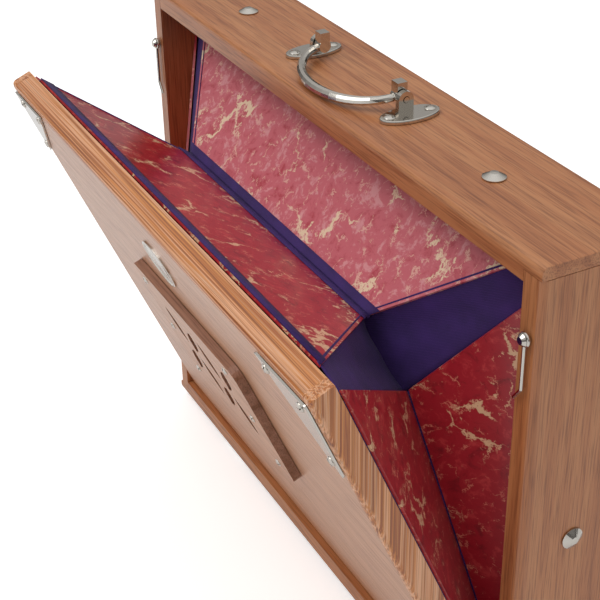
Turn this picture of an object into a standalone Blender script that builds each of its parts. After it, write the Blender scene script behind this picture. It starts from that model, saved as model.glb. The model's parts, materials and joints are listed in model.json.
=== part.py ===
"""Shruti box, pump board open: a hand-pumped reed drone box in a wooden case.

Metres, +Z up. The origin is at the centre of the opened part's outline, on the plane the feet stand on.
+X is the player's right when facing the pump board, and the pump board faces -Y.
"""
import math

import bmesh
import bpy
from mathutils import Matrix, Vector

MM = 0.001

# Case
CASE_WIDTH = 400 * MM
CASE_HEIGHT = 300 * MM
CASE_DEPTH = 65 * MM
CASE_WALL = 12 * MM
CASE_LAP = 6.5 * MM
CASE_EDGE_ROUND = 3.5 * MM
CASE_END_ROUND = 2 * MM

# Feet
FOOT_LENGTH = 36 * MM
FOOT_WIDTH = 14 * MM
FOOT_HEIGHT = 4.5 * MM
FOOT_SPACING = 236 * MM
FOOT_SETBACK = 3.2 * MM

# Clearance between two pieces that touch, and between pieces that run past each other
SEAT_GAP = 0.3 * MM
RUN_GAP = 0.3 * MM

# Pump board
PUMP_OPEN_ANGLE = math.radians(22.4)
PUMP_RECESS = 4.6 * MM
PUMP_THICKNESS = 12.8 * MM
PUMP_SIDE_CLEARANCE = 1.2 * MM
PUMP_FLOOR_CLEARANCE = 5.4 * MM
LIPPING_WIDTH = 4 * MM
LIPPING_ROUND = 3 * MM
INTAKE_HOLE_RADIUS = 14 * MM
INTAKE_HOLE_SPACING = 44 * MM

# Space for the folded ribs behind the pump board, and the partition behind them
STACK_SPACE = 7.6 * MM
PARTITION_THICKNESS = 8 * MM
TRANSFER_HOLE_RADIUS = 13 * MM
TRANSFER_HOLE_SPACING = 44 * MM
TRANSFER_HOLE_HEIGHT = 82 * MM

# Butt hinges of the pump board
HINGE_SPACING = 240 * MM
HINGE_LENGTH = 50 * MM
HINGE_KNUCKLES = 5
HINGE_KNUCKLE_RADIUS = 1.9 * MM
HINGE_PIN_RADIUS = 1.0 * MM
HINGE_LEAF_THICKNESS = 1.0 * MM
HINGE_PUMP_LEAF_HEIGHT = 14 * MM

# Bellows ribs and cloth
RIB_THICKNESS = 1.5 * MM
TOP_RIB_WIDTH = 72 * MM
TOP_RIB_HINGE_HALF = 172 * MM
TOP_RIB_INNER_SWING = math.radians(39.5)
TOP_RIB_OUTER_SWING = math.radians(38.9)
SIDE_RIB_FOLD_ANGLE = math.radians(19.3)
SIDE_RIB_SWING = math.radians(34.4)
SIDE_RIB_BOTTOM = 44 * MM
SIDE_RIB_TOP = 202 * MM
SIDE_RIB_RISE = 80 * MM
RIB_FOLD_SETBACK = 7 * MM
RIB_HINGE_SETBACK = 0.6 * MM
CLOTH_THICKNESS = 0.8 * MM
GUSSET_SAG = 5 * MM
GUSSET_CLEARANCE = 0.7 * MM
GUSSET_STEPS = 8
STRIP_THICKNESS = 0.8 * MM
STRIP_CLEARANCE = 3 * MM
STRIP_LAP = 7 * MM

# Grille block over the intake holes
GRILLE_WIDTH = 132 * MM
GRILLE_HEIGHT = 87.5 * MM
GRILLE_THICKNESS = 4.9 * MM
GRILLE_CORNER_RADIUS = 7 * MM
GRILLE_CENTRE_HEIGHT = 173.5 * MM
FRET_PITCH = 21 * MM
FRET_LENGTH = 25 * MM
FRET_WIDTH = 9.5 * MM
FRET_COLUMNS = 4
FRET_ROWS = 2

# Corner plates and name plate on the pump board
CORNER_PLATE_LEG = 46 * MM
CORNER_PLATE_THICKNESS = 1.0 * MM

# Drop handle on the top board
HANDLE_SETBACK = 31.5 * MM
HANDLE_SPACING = 98 * MM
HANDLE_PLATE_LENGTH = 33 * MM
HANDLE_PLATE_WIDTH = 16.5 * MM
HANDLE_PLATE_THICKNESS = 1.8 * MM
HANDLE_EAR_THICKNESS = 3 * MM
HANDLE_EAR_RADIUS = 4.2 * MM
HANDLE_PIVOT_HEIGHT = 7.5 * MM
HANDLE_PIN_RADIUS = 1.5 * MM
BAIL_HALF_WIDTH = 39 * MM
BAIL_REACH = 26.5 * MM
BAIL_DROOP = math.radians(9.3)
BAIL_STEPS = 24
BAIL_BOSS_LENGTH = 6 * MM
BAIL_END_RADIUS = 1.9 * MM
BAIL_GRIP_RADIUS = 2.7 * MM
BAIL_BOSS_RADIUS = 3.4 * MM
BAIL_LUG_HEIGHT = 7.5 * MM
BAIL_LUG_WIDTH = 5.5 * MM

# Wire hooks that swing over the corner plates
HOOK_HEIGHT = 264 * MM
HOOK_WIRE_RADIUS = 0.9 * MM
HOOK_LENGTH = 33 * MM
HOOK_TIP_LENGTH = 8 * MM
HOOK_TIP_BEND = math.radians(35)
HOOK_EYE_RADIUS = 2.6 * MM
HOOK_SCREW_RADIUS = 1.3 * MM
HOOK_SCREW_HEAD_RADIUS = 3.0 * MM

# Cup washers with raised-head screws, which hold the partition
CUP_RADIUS = 5.6 * MM
CUP_HEIGHT = 1.6 * MM
CUP_SCREW_RADIUS = 3.4 * MM
CUP_SPACING = 248 * MM

# Leather flap valves
FLAP_THICKNESS = 1.5 * MM
FLAP_WIDTH = 92 * MM
FLAP_HEIGHT = 46 * MM

# Reservoir at the lower back
RESERVOIR_STACK = 8 * MM
RESERVOIR_BOARD_THICKNESS = 8 * MM
RESERVOIR_SIDE_CLEARANCE = 10 * MM
RESERVOIR_BOTTOM = 16 * MM
RESERVOIR_TOP = 158 * MM
RESERVOIR_CLOTH_WIDTH = 10 * MM
SPRING_THICKNESS = 0.9 * MM
SPRING_WIDTH = 24 * MM
SPRING_CONTACT_HEIGHT = 104 * MM
SPRING_FOOT_SETBACK = 4 * MM
SPRING_FOOT_LENGTH = 8 * MM

# Reed chamber at the upper back
CHAMBER_BOTTOM = 160 * MM
CHAMBER_DEPTH = 9.7 * MM
CHAMBER_RAIL = 8 * MM
REED_BOARD_THICKNESS = 6 * MM
NOTE_COUNT = 13
NOTE_PITCH = 24 * MM
NOTE_HOLE_WIDTH = 6 * MM
NOTE_HOLE_HEIGHT = 26 * MM
NOTE_HOLE_CENTRE = 235 * MM
REED_PLATE_THICKNESS = 1.6 * MM
REED_PLATE_HEIGHT = 44 * MM
REED_TONGUE_WIDTH = 3.8 * MM
REED_TONGUE_THICKNESS = 0.6 * MM
REED_SLOT_WIDTH = 4.6 * MM
KEY_WIDTH = 20 * MM
KEY_BARREL_RADIUS = 3.2 * MM
KEY_AXLE_RADIUS = 1.0 * MM
KEY_AXLE_BELOW_HOLE = 27 * MM
KEY_PALLET_THICKNESS = 5 * MM
KEY_HEIGHT = 64 * MM
KEY_TAB_REACH = 7.5 * MM
KEY_TAB_HEIGHT = 12 * MM
BEARING_WIDTH = 8 * MM
BEARING_HEIGHT = 12 * MM

# Planes that follow from the sizes above
HINGE_OFFSET = SEAT_GAP + HINGE_KNUCKLE_RADIUS
HINGE_DEPTH = PUMP_RECESS + PUMP_THICKNESS + HINGE_OFFSET
PUMP_FACE = -HINGE_OFFSET - PUMP_THICKNESS
PUMP_TOP = CASE_HEIGHT - 2 * CASE_WALL - HINGE_OFFSET - PUMP_SIDE_CLEARANCE
OPEN_REACH = ((PUMP_TOP - LIPPING_WIDTH) * math.sin(PUMP_OPEN_ANGLE) - HINGE_DEPTH
              - (PUMP_FACE - SEAT_GAP - CORNER_PLATE_THICKNESS) * math.cos(PUMP_OPEN_ANGLE))
CASE_CENTRE_Y = OPEN_REACH / 2
FRONT_Y = CASE_CENTRE_Y - CASE_DEPTH / 2
BACK_Y = CASE_CENTRE_Y + CASE_DEPTH / 2
HANDLE_Y = FRONT_Y + HANDLE_SETBACK
FLOOR_Z = FOOT_HEIGHT
TOP_Z = FLOOR_Z + CASE_HEIGHT
INNER_X = CASE_WIDTH / 2 - CASE_WALL
INNER_BOTTOM = FLOOR_Z + CASE_WALL
INNER_TOP = TOP_Z - CASE_WALL
PUMP_FRONT_Y = FRONT_Y + PUMP_RECESS
PUMP_BACK_Y = PUMP_FRONT_Y + PUMP_THICKNESS
PARTITION_FRONT_Y = PUMP_BACK_Y + STACK_SPACE
PARTITION_BACK_Y = PARTITION_FRONT_Y + PARTITION_THICKNESS
HINGE_Y = PUMP_BACK_Y + HINGE_OFFSET
HINGE_Z = INNER_BOTTOM + HINGE_OFFSET
PUMP_HALF_WIDTH = INNER_X - PUMP_SIDE_CLEARANCE
PUMP_BOTTOM = PUMP_FLOOR_CLEARANCE - HINGE_OFFSET
TOP_FOLD_Z = INNER_TOP - 2 * MM
SIDE_FOLD_X = INNER_X - 2 * MM
INNER_PIVOT_Y = PARTITION_FRONT_Y - SEAT_GAP - RIB_THICKNESS / 2
OUTER_PIVOT_Y = -HINGE_OFFSET + SEAT_GAP + RIB_THICKNESS / 2
CHAMBER_BACK_Y = PARTITION_BACK_Y + SEAT_GAP + CHAMBER_DEPTH
REED_BOARD_FRONT_Y = CHAMBER_BACK_Y + SEAT_GAP
REED_BOARD_BACK_Y = REED_BOARD_FRONT_Y + REED_BOARD_THICKNESS
KEY_AXLE_Y = REED_BOARD_BACK_Y + SEAT_GAP + KEY_PALLET_THICKNESS - 1.1 * MM
KEY_AXLE_Z = FLOOR_Z + NOTE_HOLE_CENTRE - KEY_AXLE_BELOW_HOLE
RESERVOIR_FRONT_Y = PARTITION_BACK_Y + RESERVOIR_STACK
RESERVOIR_BACK_Y = RESERVOIR_FRONT_Y + RESERVOIR_BOARD_THICKNESS
RESERVOIR_HALF_WIDTH = INNER_X - RESERVOIR_SIDE_CLEARANCE
GRILLE_CENTRE = GRILLE_CENTRE_HEIGHT - HINGE_OFFSET - CASE_WALL
PLANE_OFFSET = INNER_PIVOT_Y - HINGE_Y - OUTER_PIVOT_Y * math.cos(PUMP_OPEN_ANGLE)
APEX_U = -PLANE_OFFSET / math.sin(PUMP_OPEN_ANGLE)
APEX_Z = HINGE_Z + OUTER_PIVOT_Y * math.sin(PUMP_OPEN_ANGLE) + APEX_U * math.cos(PUMP_OPEN_ANGLE)

# Colours as linear RGB with roughness and metallic, from the photograph
MATERIALS = {
    "walnut": ((0.40, 0.17, 0.075), 0.42, 0.0),
    "pump_veneer": ((0.66, 0.42, 0.28), 0.38, 0.0),
    "striped_lipping": ((0.60, 0.26, 0.07), 0.35, 0.0),
    "grille_walnut": ((0.52, 0.33, 0.22), 0.40, 0.0),
    "nickel": ((0.74, 0.71, 0.66), 0.18, 1.0),
    "steel": ((0.55, 0.55, 0.56), 0.30, 1.0),
    "brass": ((0.72, 0.50, 0.20), 0.28, 1.0),
    "marbled_card": ((0.48, 0.06, 0.07), 0.35, 0.0),
    "bellows_cloth": ((0.045, 0.014, 0.12), 0.75, 0.0),
    "leather": ((0.30, 0.17, 0.09), 0.65, 0.0),
    "plain_wood": ((0.50, 0.33, 0.18), 0.55, 0.0),
}


def clear_scene():
    """Remove every object that the file starts with."""
    for obj in list(bpy.data.objects):
        bpy.data.objects.remove(obj, do_unlink=True)


def material(name):
    """Return the named material, made on first use."""
    found = bpy.data.materials.get(name)
    if found:
        return found
    colour, roughness, metallic = MATERIALS[name]
    made = bpy.data.materials.new(name)
    made.use_nodes = True
    shader = made.node_tree.nodes["Principled BSDF"]
    shader.inputs["Base Color"].default_value = (*colour, 1.0)
    shader.inputs["Roughness"].default_value = roughness
    shader.inputs["Metallic"].default_value = metallic
    made.diffuse_color = (*colour, 1.0)
    return made


def add_object(name, bm, finish, parent=None, smooth_angle=None):
    """Turn a bmesh into a named object in its parent's frame."""
    mesh = bpy.data.meshes.new(name)
    bmesh.ops.recalc_face_normals(bm, faces=bm.faces)
    bm.to_mesh(mesh)
    bm.free()
    mesh.materials.append(material(finish))
    if smooth_angle:
        mesh.shade_smooth()
        mesh.set_sharp_from_angle(angle=math.radians(smooth_angle))
    obj = bpy.data.objects.new(name, mesh)
    bpy.context.scene.collection.objects.link(obj)
    obj.parent = parent
    return obj


def add_copy(name, source, location):
    """Place another object that shares the source's mesh and modifiers."""
    obj = source.copy()
    obj.name = name
    obj.location = location
    bpy.context.scene.collection.objects.link(obj)
    return obj


def add_pivot(name, location, rotation=(0, 0, 0), parent=None):
    """Place an empty on a joint's axis."""
    empty = bpy.data.objects.new(name, None)
    bpy.context.scene.collection.objects.link(empty)
    empty.parent = parent
    empty.location = location
    empty.rotation_euler = rotation
    return empty


def combine(target, bm, operation):
    """Join a shape to the target, or cut it away, with a hidden guide object."""
    guide = add_object(target.name + "_guide", bm, "plain_wood", target.parent)
    guide.location = target.location
    guide.hide_render = True
    guide.display_type = "WIRE"
    modifier = target.modifiers.new(operation.lower(), "BOOLEAN")
    modifier.operation = operation
    modifier.solver = "EXACT"
    modifier.object = guide


def cut(target, bm):
    combine(target, bm, "DIFFERENCE")


def join(target, bm):
    combine(target, bm, "UNION")


def box(low, high, bm=None):
    """Add a box between two corners."""
    bm = bm or bmesh.new()
    low, high = Vector(low), Vector(high)
    size = high - low
    place = Matrix.Translation((low + high) / 2) @ Matrix.Diagonal((*size, 1))
    bmesh.ops.create_cube(bm, size=1, matrix=place)
    return bm


def rod(start, end, radius, sides=16, bm=None, end_radius=None):
    """Add a round bar or a cone between two points."""
    bm = bm or bmesh.new()
    start, end = Vector(start), Vector(end)
    along = end - start
    turn = along.to_track_quat("Z", "Y").to_matrix().to_4x4()
    bmesh.ops.create_cone(bm, cap_ends=True, segments=sides, radius1=radius,
                          radius2=radius if end_radius is None else end_radius,
                          depth=along.length, matrix=Matrix.Translation((start + end) / 2) @ turn)
    return bm


def prism(outline, place, depth, bm=None):
    """Extrude a closed outline of (a, b) points; place maps (a, b, c) to the parent's frame."""
    bm = bm or bmesh.new()
    face = bm.faces.new([bm.verts.new(place(a, b, 0)) for a, b in outline])
    grown = bmesh.ops.extrude_face_region(bm, geom=[face])
    shift = Vector(place(0, 0, depth)) - Vector(place(0, 0, 0))
    moved = [v for v in grown["geom"] if isinstance(v, bmesh.types.BMVert)]
    bmesh.ops.translate(bm, verts=moved, vec=shift)
    return bm


def arc(centre, radius, start, end, count):
    """Return points on an arc, both ends included, with angles in degrees."""
    points = []
    for step in range(count + 1):
        angle = math.radians(start + (end - start) * step / count)
        points.append((centre[0] + radius * math.cos(angle), centre[1] + radius * math.sin(angle)))
    return points


def ellipse(half_a, half_b, count):
    """Return the points of an ellipse round the origin."""
    return [(half_a * math.cos(2 * math.pi * i / count), half_b * math.sin(2 * math.pi * i / count))
            for i in range(count)]


def ribbon(path, thickness):
    """Return the outline of a strip that follows a path of (a, b) points."""
    sides = [[], []]
    for i, point in enumerate(path):
        before = Vector(path[max(i - 1, 0)])
        after = Vector(path[min(i + 1, len(path) - 1)])
        along = (after - before).normalized()
        normal = Vector((-along.y, along.x)) * thickness / 2
        sides[0].append(tuple(Vector(point) + normal))
        sides[1].append(tuple(Vector(point) - normal))
    return sides[0] + sides[1][::-1]


def round_edges(bm, width, segments, wanted):
    """Bevel the edges whose ends both pass the test."""
    edges = [e for e in bm.edges if wanted(e.verts[0].co, e.verts[1].co)]
    bmesh.ops.bevel(bm, geom=edges, offset=width, offset_type="OFFSET", segments=segments,
                    profile=0.5, affect="EDGES", material=-1)


def side_name(side):
    return "right" if side > 0 else "left"


def build_case():
    """Top and bottom boards lap over the two sides in a rabbet."""
    half = CASE_WIDTH / 2
    for name, low, high, outer in (("case_top", INNER_TOP, TOP_Z, TOP_Z),
                                   ("case_bottom", FLOOR_Z, INNER_BOTTOM, FLOOR_Z)):
        bm = box((-half, FRONT_Y, low), (half, BACK_Y, high))
        round_edges(bm, CASE_EDGE_ROUND, 4, lambda a, b: abs(a.x - b.x) > half
                    and abs(a.z - outer) < 1e-6 and abs(b.z - outer) < 1e-6)
        round_edges(bm, CASE_END_ROUND, 2, lambda a, b: abs(a.y - b.y) > CASE_DEPTH / 2
                    and abs(a.z - outer) < 1e-6 and abs(b.z - outer) < 1e-6)
        board = add_object(name, bm, "walnut", smooth_angle=30)
        inner = low if outer > low else high
        lap = outer + (-CASE_LAP if outer > low else CASE_LAP)
        for side in (-1, 1):
            edge = side * (INNER_X - SEAT_GAP)
            reach = side * (half + CASE_WALL)
            rabbet = box((min(edge, reach), FRONT_Y - CASE_WALL, min(inner, lap) - (CASE_WALL if lap > inner else 0)),
                         (max(edge, reach), BACK_Y + CASE_WALL, max(inner, lap) + (CASE_WALL if lap < inner else 0)))
            cut(board, rabbet)
    for side in (-1, 1):
        low_z = FLOOR_Z + CASE_LAP + SEAT_GAP
        high_z = TOP_Z - CASE_LAP - SEAT_GAP
        inner, outer = side * INNER_X, side * half
        bm = box((min(inner, outer), FRONT_Y, low_z), (max(inner, outer), BACK_Y, high_z))
        round_edges(bm, CASE_EDGE_ROUND, 4, lambda a, b: abs(a.z - b.z) > CASE_HEIGHT / 2
                    and abs(a.x - outer) < 1e-6)
        add_object("case_" + side_name(side), bm, "walnut", smooth_angle=30)


def build_feet():
    """Four low pads with softened lower edges, two near the front edge and two near the back."""
    for row, y_sign in (("front", -1), ("back", 1)):
        for side in (-1, 1):
            centre_x = side * FOOT_SPACING / 2
            centre_y = CASE_CENTRE_Y + y_sign * (CASE_DEPTH / 2 - FOOT_SETBACK - FOOT_WIDTH / 2)
            outline = []
            bend = FOOT_WIDTH / 2
            straight = FOOT_LENGTH / 2 - bend
            outline += arc((straight, 0), bend, -90, 90, 8)
            outline += arc((-straight, 0), bend, 90, 270, 8)
            bm = prism(outline, lambda a, b, c: (centre_x + a, centre_y + b, c), FLOOR_Z - SEAT_GAP)
            round_edges(bm, 1.2 * MM, 2, lambda a, b: a.z < 1e-6 and b.z < 1e-6)
            add_object("foot_%s_%s" % (row, side_name(side)), bm, "nickel", smooth_angle=35)


def build_partition():
    """The fixed board between the pump bellows and the back, with two transfer holes."""
    half = INNER_X - SEAT_GAP
    bm = box((-half, PARTITION_FRONT_Y, INNER_BOTTOM + SEAT_GAP),
             (half, PARTITION_BACK_Y, INNER_TOP - SEAT_GAP))
    board = add_object("partition", bm, "plain_wood")
    for side in (-1, 1):
        x = side * TRANSFER_HOLE_SPACING / 2
        z = FLOOR_Z + TRANSFER_HOLE_HEIGHT
        cut(board, rod((x, PARTITION_FRONT_Y - CASE_WALL, z), (x, PARTITION_BACK_Y + CASE_WALL, z),
                       TRANSFER_HOLE_RADIUS, 24))
    pivot = add_pivot("transfer_flap_pivot", (0, PARTITION_BACK_Y + SEAT_GAP + FLAP_THICKNESS / 2,
                                              FLOOR_Z + TRANSFER_HOLE_HEIGHT + FLAP_HEIGHT / 2))
    add_flap("transfer_flap", pivot)


def add_flap(name, pivot):
    """A leather flap that hangs from its top edge."""
    bm = box((-FLAP_WIDTH / 2, -FLAP_THICKNESS / 2, -FLAP_HEIGHT),
             (FLAP_WIDTH / 2, FLAP_THICKNESS / 2, FLAP_THICKNESS / 2))
    round_edges(bm, 4 * MM, 3, lambda a, b: abs(a.y - b.y) > FLAP_THICKNESS / 2
                and a.z < -FLAP_HEIGHT + 1e-6 and b.z < -FLAP_HEIGHT + 1e-6)
    add_object(name, bm, "leather", pivot)


def build_pump(pump):
    """Core panel with lipping round it, in the pump board's own upright frame."""
    back = -HINGE_OFFSET
    half = PUMP_HALF_WIDTH
    bm = box((-half, PUMP_FACE, PUMP_BOTTOM), (half, back, PUMP_TOP))
    round_edges(bm, LIPPING_ROUND, 4, lambda a, b: abs(a.y - PUMP_FACE) < 1e-6
                and abs(b.y - PUMP_FACE) < 1e-6)
    lipping = add_object("pump_lipping", bm, "striped_lipping", pump, smooth_angle=30)
    inset = LIPPING_WIDTH
    cut(lipping, box((-half + inset, PUMP_FACE - CASE_WALL, PUMP_BOTTOM + inset),
                     (half - inset, back + CASE_WALL, PUMP_TOP - inset)))
    inset += SEAT_GAP
    panel = add_object("pump_panel", box((-half + inset, PUMP_FACE, PUMP_BOTTOM + inset),
                                         (half - inset, back, PUMP_TOP - inset)), "pump_veneer", pump)
    for side in (-1, 1):
        x = side * INTAKE_HOLE_SPACING / 2
        cut(panel, rod((x, PUMP_FACE - CASE_WALL, GRILLE_CENTRE), (x, back + CASE_WALL, GRILLE_CENTRE),
                       INTAKE_HOLE_RADIUS, 24))
    flap = add_pivot("intake_flap_pivot", (0, back + SEAT_GAP + FLAP_THICKNESS / 2,
                                           GRILLE_CENTRE + FLAP_HEIGHT / 2), parent=pump)
    add_flap("intake_flap", flap)


def leaf_outline(length, width, count):
    """Return a lens shape with pointed ends, long along b."""
    half = length / 2
    radius = (half ** 2 + (width / 2) ** 2) / width
    spread = math.degrees(math.asin(half / radius))
    right = arc((width / 2 - radius, 0), radius, -spread, spread, count)
    left = arc((radius - width / 2, 0), radius, 180 - spread, 180 + spread, count)
    return right[:-1] + left[:-1]


def build_grille(pump):
    """Raised fretwork block, screwed over the intake holes."""
    half_w = GRILLE_WIDTH / 2 - GRILLE_CORNER_RADIUS
    half_h = GRILLE_HEIGHT / 2 - GRILLE_CORNER_RADIUS
    outline = []
    for x, z, start in ((1, 1, 0), (-1, 1, 90), (-1, -1, 180), (1, -1, 270)):
        outline += arc((x * half_w, z * half_h), GRILLE_CORNER_RADIUS, start, start + 90, 5)
    face = PUMP_FACE - SEAT_GAP

    def place(a, b, c):
        return (a, face - c, GRILLE_CENTRE + b)

    grille = add_object("grille_block", prism(outline, place, GRILLE_THICKNESS), "grille_walnut",
                        pump, smooth_angle=30)
    holes = bmesh.new()
    leaf = leaf_outline(FRET_LENGTH, FRET_WIDTH, 5)
    for row in range(FRET_ROWS):
        for column in range(FRET_COLUMNS):
            middle_a = (column - (FRET_COLUMNS - 1) / 2) * FRET_PITCH
            middle_b = (row - (FRET_ROWS - 1) / 2) * (FRET_LENGTH + 3 * MM)
            tilt = math.radians(28) * (1 if (row + column) % 2 else -1)
            turned = [(middle_a + a * math.cos(tilt) - b * math.sin(tilt),
                       middle_b + a * math.sin(tilt) + b * math.cos(tilt)) for a, b in leaf]
            prism(turned, lambda a, b, c: place(a, b, c - CASE_WALL), 2 * CASE_WALL + GRILLE_THICKNESS, holes)
    cut(grille, holes)


def build_corner_plates(pump):
    """Thin triangular plates that the wire hooks bear on."""
    face = PUMP_FACE - SEAT_GAP
    for side in (-1, 1):
        corner_x = side * (PUMP_HALF_WIDTH - LIPPING_WIDTH)
        corner_z = PUMP_TOP - LIPPING_WIDTH
        leg = CORNER_PLATE_LEG
        outline = [(0, 0), (-side * leg, 0), (0, -leg)]
        bm = prism(outline, lambda a, b, c: (corner_x + a, face - c, corner_z + b), CORNER_PLATE_THICKNESS)
        round_edges(bm, 1.5 * MM, 3, lambda a, b: abs(a.y - b.y) > CORNER_PLATE_THICKNESS / 2)
        add_object("corner_plate_" + side_name(side), bm, "nickel", pump)


def build_hinges(pump):
    """Two butt hinges: one leaf on the pump board, one on the bottom board with the pin staked in it."""
    pitch = HINGE_LENGTH / HINGE_KNUCKLES
    radius = HINGE_KNUCKLE_RADIUS
    leaf = HINGE_LEAF_THICKNESS
    clear = radius + RUN_GAP
    for side in (-1, 1):
        middle = side * HINGE_SPACING / 2
        start = middle - HINGE_LENGTH / 2
        bm = box((start, -radius, clear), (start + HINGE_LENGTH, -radius + leaf, HINGE_PUMP_LEAF_HEIGHT))
        pump_leaf = add_object("hinge_pump_leaf_" + side_name(side), bm, "steel", pump)
        reach = PARTITION_FRONT_Y - HINGE_Y - SEAT_GAP
        bm = box((start, HINGE_Y + clear, HINGE_Z - radius), (start + HINGE_LENGTH, HINGE_Y + reach, HINGE_Z - radius + leaf))
        case_leaf = add_object("hinge_case_leaf_" + side_name(side), bm, "steel")
        for i in range(HINGE_KNUCKLES):
            low = start + i * pitch + RUN_GAP / 2
            high = start + (i + 1) * pitch - RUN_GAP / 2
            if i % 2:
                join(pump_leaf, rod((low, 0, 0), (high, 0, 0), radius))
                join(pump_leaf, box((low, -radius, 0), (high, -radius + leaf, clear + leaf)))
            else:
                join(case_leaf, rod((low, HINGE_Y, HINGE_Z), (high, HINGE_Y, HINGE_Z), radius))
                join(case_leaf, box((low, HINGE_Y, HINGE_Z - radius),
                                    (high, HINGE_Y + clear + leaf, HINGE_Z - radius + leaf)))
        cut(pump_leaf, rod((start - pitch, 0, 0), (start + HINGE_LENGTH + pitch, 0, 0),
                           HINGE_PIN_RADIUS + RUN_GAP))
        join(case_leaf, rod((start + pitch / 2, HINGE_Y, HINGE_Z),
                            (start + HINGE_LENGTH - pitch / 2, HINGE_Y, HINGE_Z), HINGE_PIN_RADIUS))


def tube(points, radii, closed=False, sides=10):
    """Sweep a round section along a path of points, with one radius for each point."""
    bm = bmesh.new()
    points = [Vector(p) for p in points]
    count = len(points)
    rings = []
    for i, point in enumerate(points):
        before = points[(i - 1) % count] if closed or i else point
        after = points[(i + 1) % count] if closed or i < count - 1 else point
        along = (after - before).normalized()
        across = along.orthogonal() if abs(along.y) > 0.99 else along.cross(Vector((0, 1, 0)))
        across.normalize()
        other = along.cross(across)
        rings.append([bm.verts.new(point + radii[i] * (across * math.cos(2 * math.pi * k / sides)
                                                       + other * math.sin(2 * math.pi * k / sides)))
                      for k in range(sides)])
    for i in range(count if closed else count - 1):
        first, second = rings[i], rings[(i + 1) % count]
        for k in range(sides):
            bm.faces.new((first[k], first[(k + 1) % sides], second[(k + 1) % sides], second[k]))
    if not closed:
        bm.faces.new(rings[0])
        bm.faces.new(rings[-1])
    return bm


def lathe(profile, place, sides=24):
    """Turn a profile of (radius, height) points, from axis to axis, round the c direction."""
    bm = bmesh.new()
    rings = []
    for radius, height in profile:
        if radius == 0:
            rings.append([bm.verts.new(place(0, 0, height))])
            continue
        rings.append([bm.verts.new(place(radius * math.cos(2 * math.pi * k / sides),
                                         radius * math.sin(2 * math.pi * k / sides), height))
                      for k in range(sides)])
    for first, second in zip(rings, rings[1:]):
        for k in range(sides):
            corners = [first[k % len(first)], first[(k + 1) % len(first)],
                       second[(k + 1) % len(second)], second[k % len(second)]]
            bm.faces.new(list(dict.fromkeys(corners)))
    return bm


def build_top_ribs(pump):
    """Two card ribs with slanted ends; each hangs from its hinge edge and swings to the valley fold."""
    low, high = RIB_HINGE_SETBACK, TOP_RIB_WIDTH - RIB_FOLD_SETBACK
    half_low, half_high = TOP_RIB_HINGE_HALF - low, TOP_RIB_HINGE_HALF - high
    outline = [(half_low, -low), (half_high, -high), (-half_high, -high), (-half_low, -low)]
    inner = add_pivot("rib_top_inner_pivot", (0, INNER_PIVOT_Y, TOP_FOLD_Z), (-TOP_RIB_INNER_SWING, 0, 0))
    outer = add_pivot("rib_top_outer_pivot", (0, OUTER_PIVOT_Y, TOP_FOLD_Z - HINGE_Z),
                      (TOP_RIB_OUTER_SWING, 0, 0), pump)
    for name, pivot in (("rib_top_inner", inner), ("rib_top_outer", outer)):
        bm = prism(outline, lambda a, b, c: (a, c - RIB_THICKNESS / 2, b), RIB_THICKNESS)
        add_object(name, bm, "marbled_card", pivot)


def build_side_ribs(pump):
    """Two card ribs on each side, hinged on upright edges; their fold edges slant from the bottom."""
    slope = math.tan(SIDE_RIB_FOLD_ANGLE)
    setback = RIB_FOLD_SETBACK / math.cos(SIDE_RIB_FOLD_ANGLE)
    low, peak = SIDE_RIB_BOTTOM, SIDE_RIB_TOP + SIDE_RIB_RISE
    fall = SIDE_RIB_RISE / (SIDE_RIB_TOP * slope - RIB_HINGE_SETBACK)
    corner = (peak + fall * (RIB_HINGE_SETBACK + setback)) / (1 + fall * slope)
    outline = [(RIB_HINGE_SETBACK, low), (low * slope - setback, low), (corner * slope - setback, corner),
               (RIB_HINGE_SETBACK, peak)]
    for side in (-1, 1):
        inner = add_pivot("rib_%s_inner_pivot" % side_name(side), (side * SIDE_FOLD_X, INNER_PIVOT_Y, APEX_Z),
                          (0, 0, side * SIDE_RIB_SWING))
        outer = add_pivot("rib_%s_outer_pivot" % side_name(side), (side * SIDE_FOLD_X, OUTER_PIVOT_Y, APEX_U),
                          (0, 0, -side * SIDE_RIB_SWING), pump)
        for part, pivot in (("inner", inner), ("outer", outer)):
            bm = prism(outline, lambda a, b, c: (-side * a, c - RIB_THICKNESS / 2, b), RIB_THICKNESS)
            add_object("rib_%s_%s" % (side_name(side), part), bm, "marbled_card", pivot)


def pump_point(x, y, z):
    """Return the place at rest of a point given in the pump board's own frame."""
    turned = Matrix.Rotation(PUMP_OPEN_ANGLE, 3, "X") @ Vector((x, y, z))
    return turned + Vector((0, HINGE_Y, HINGE_Z))


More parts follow.
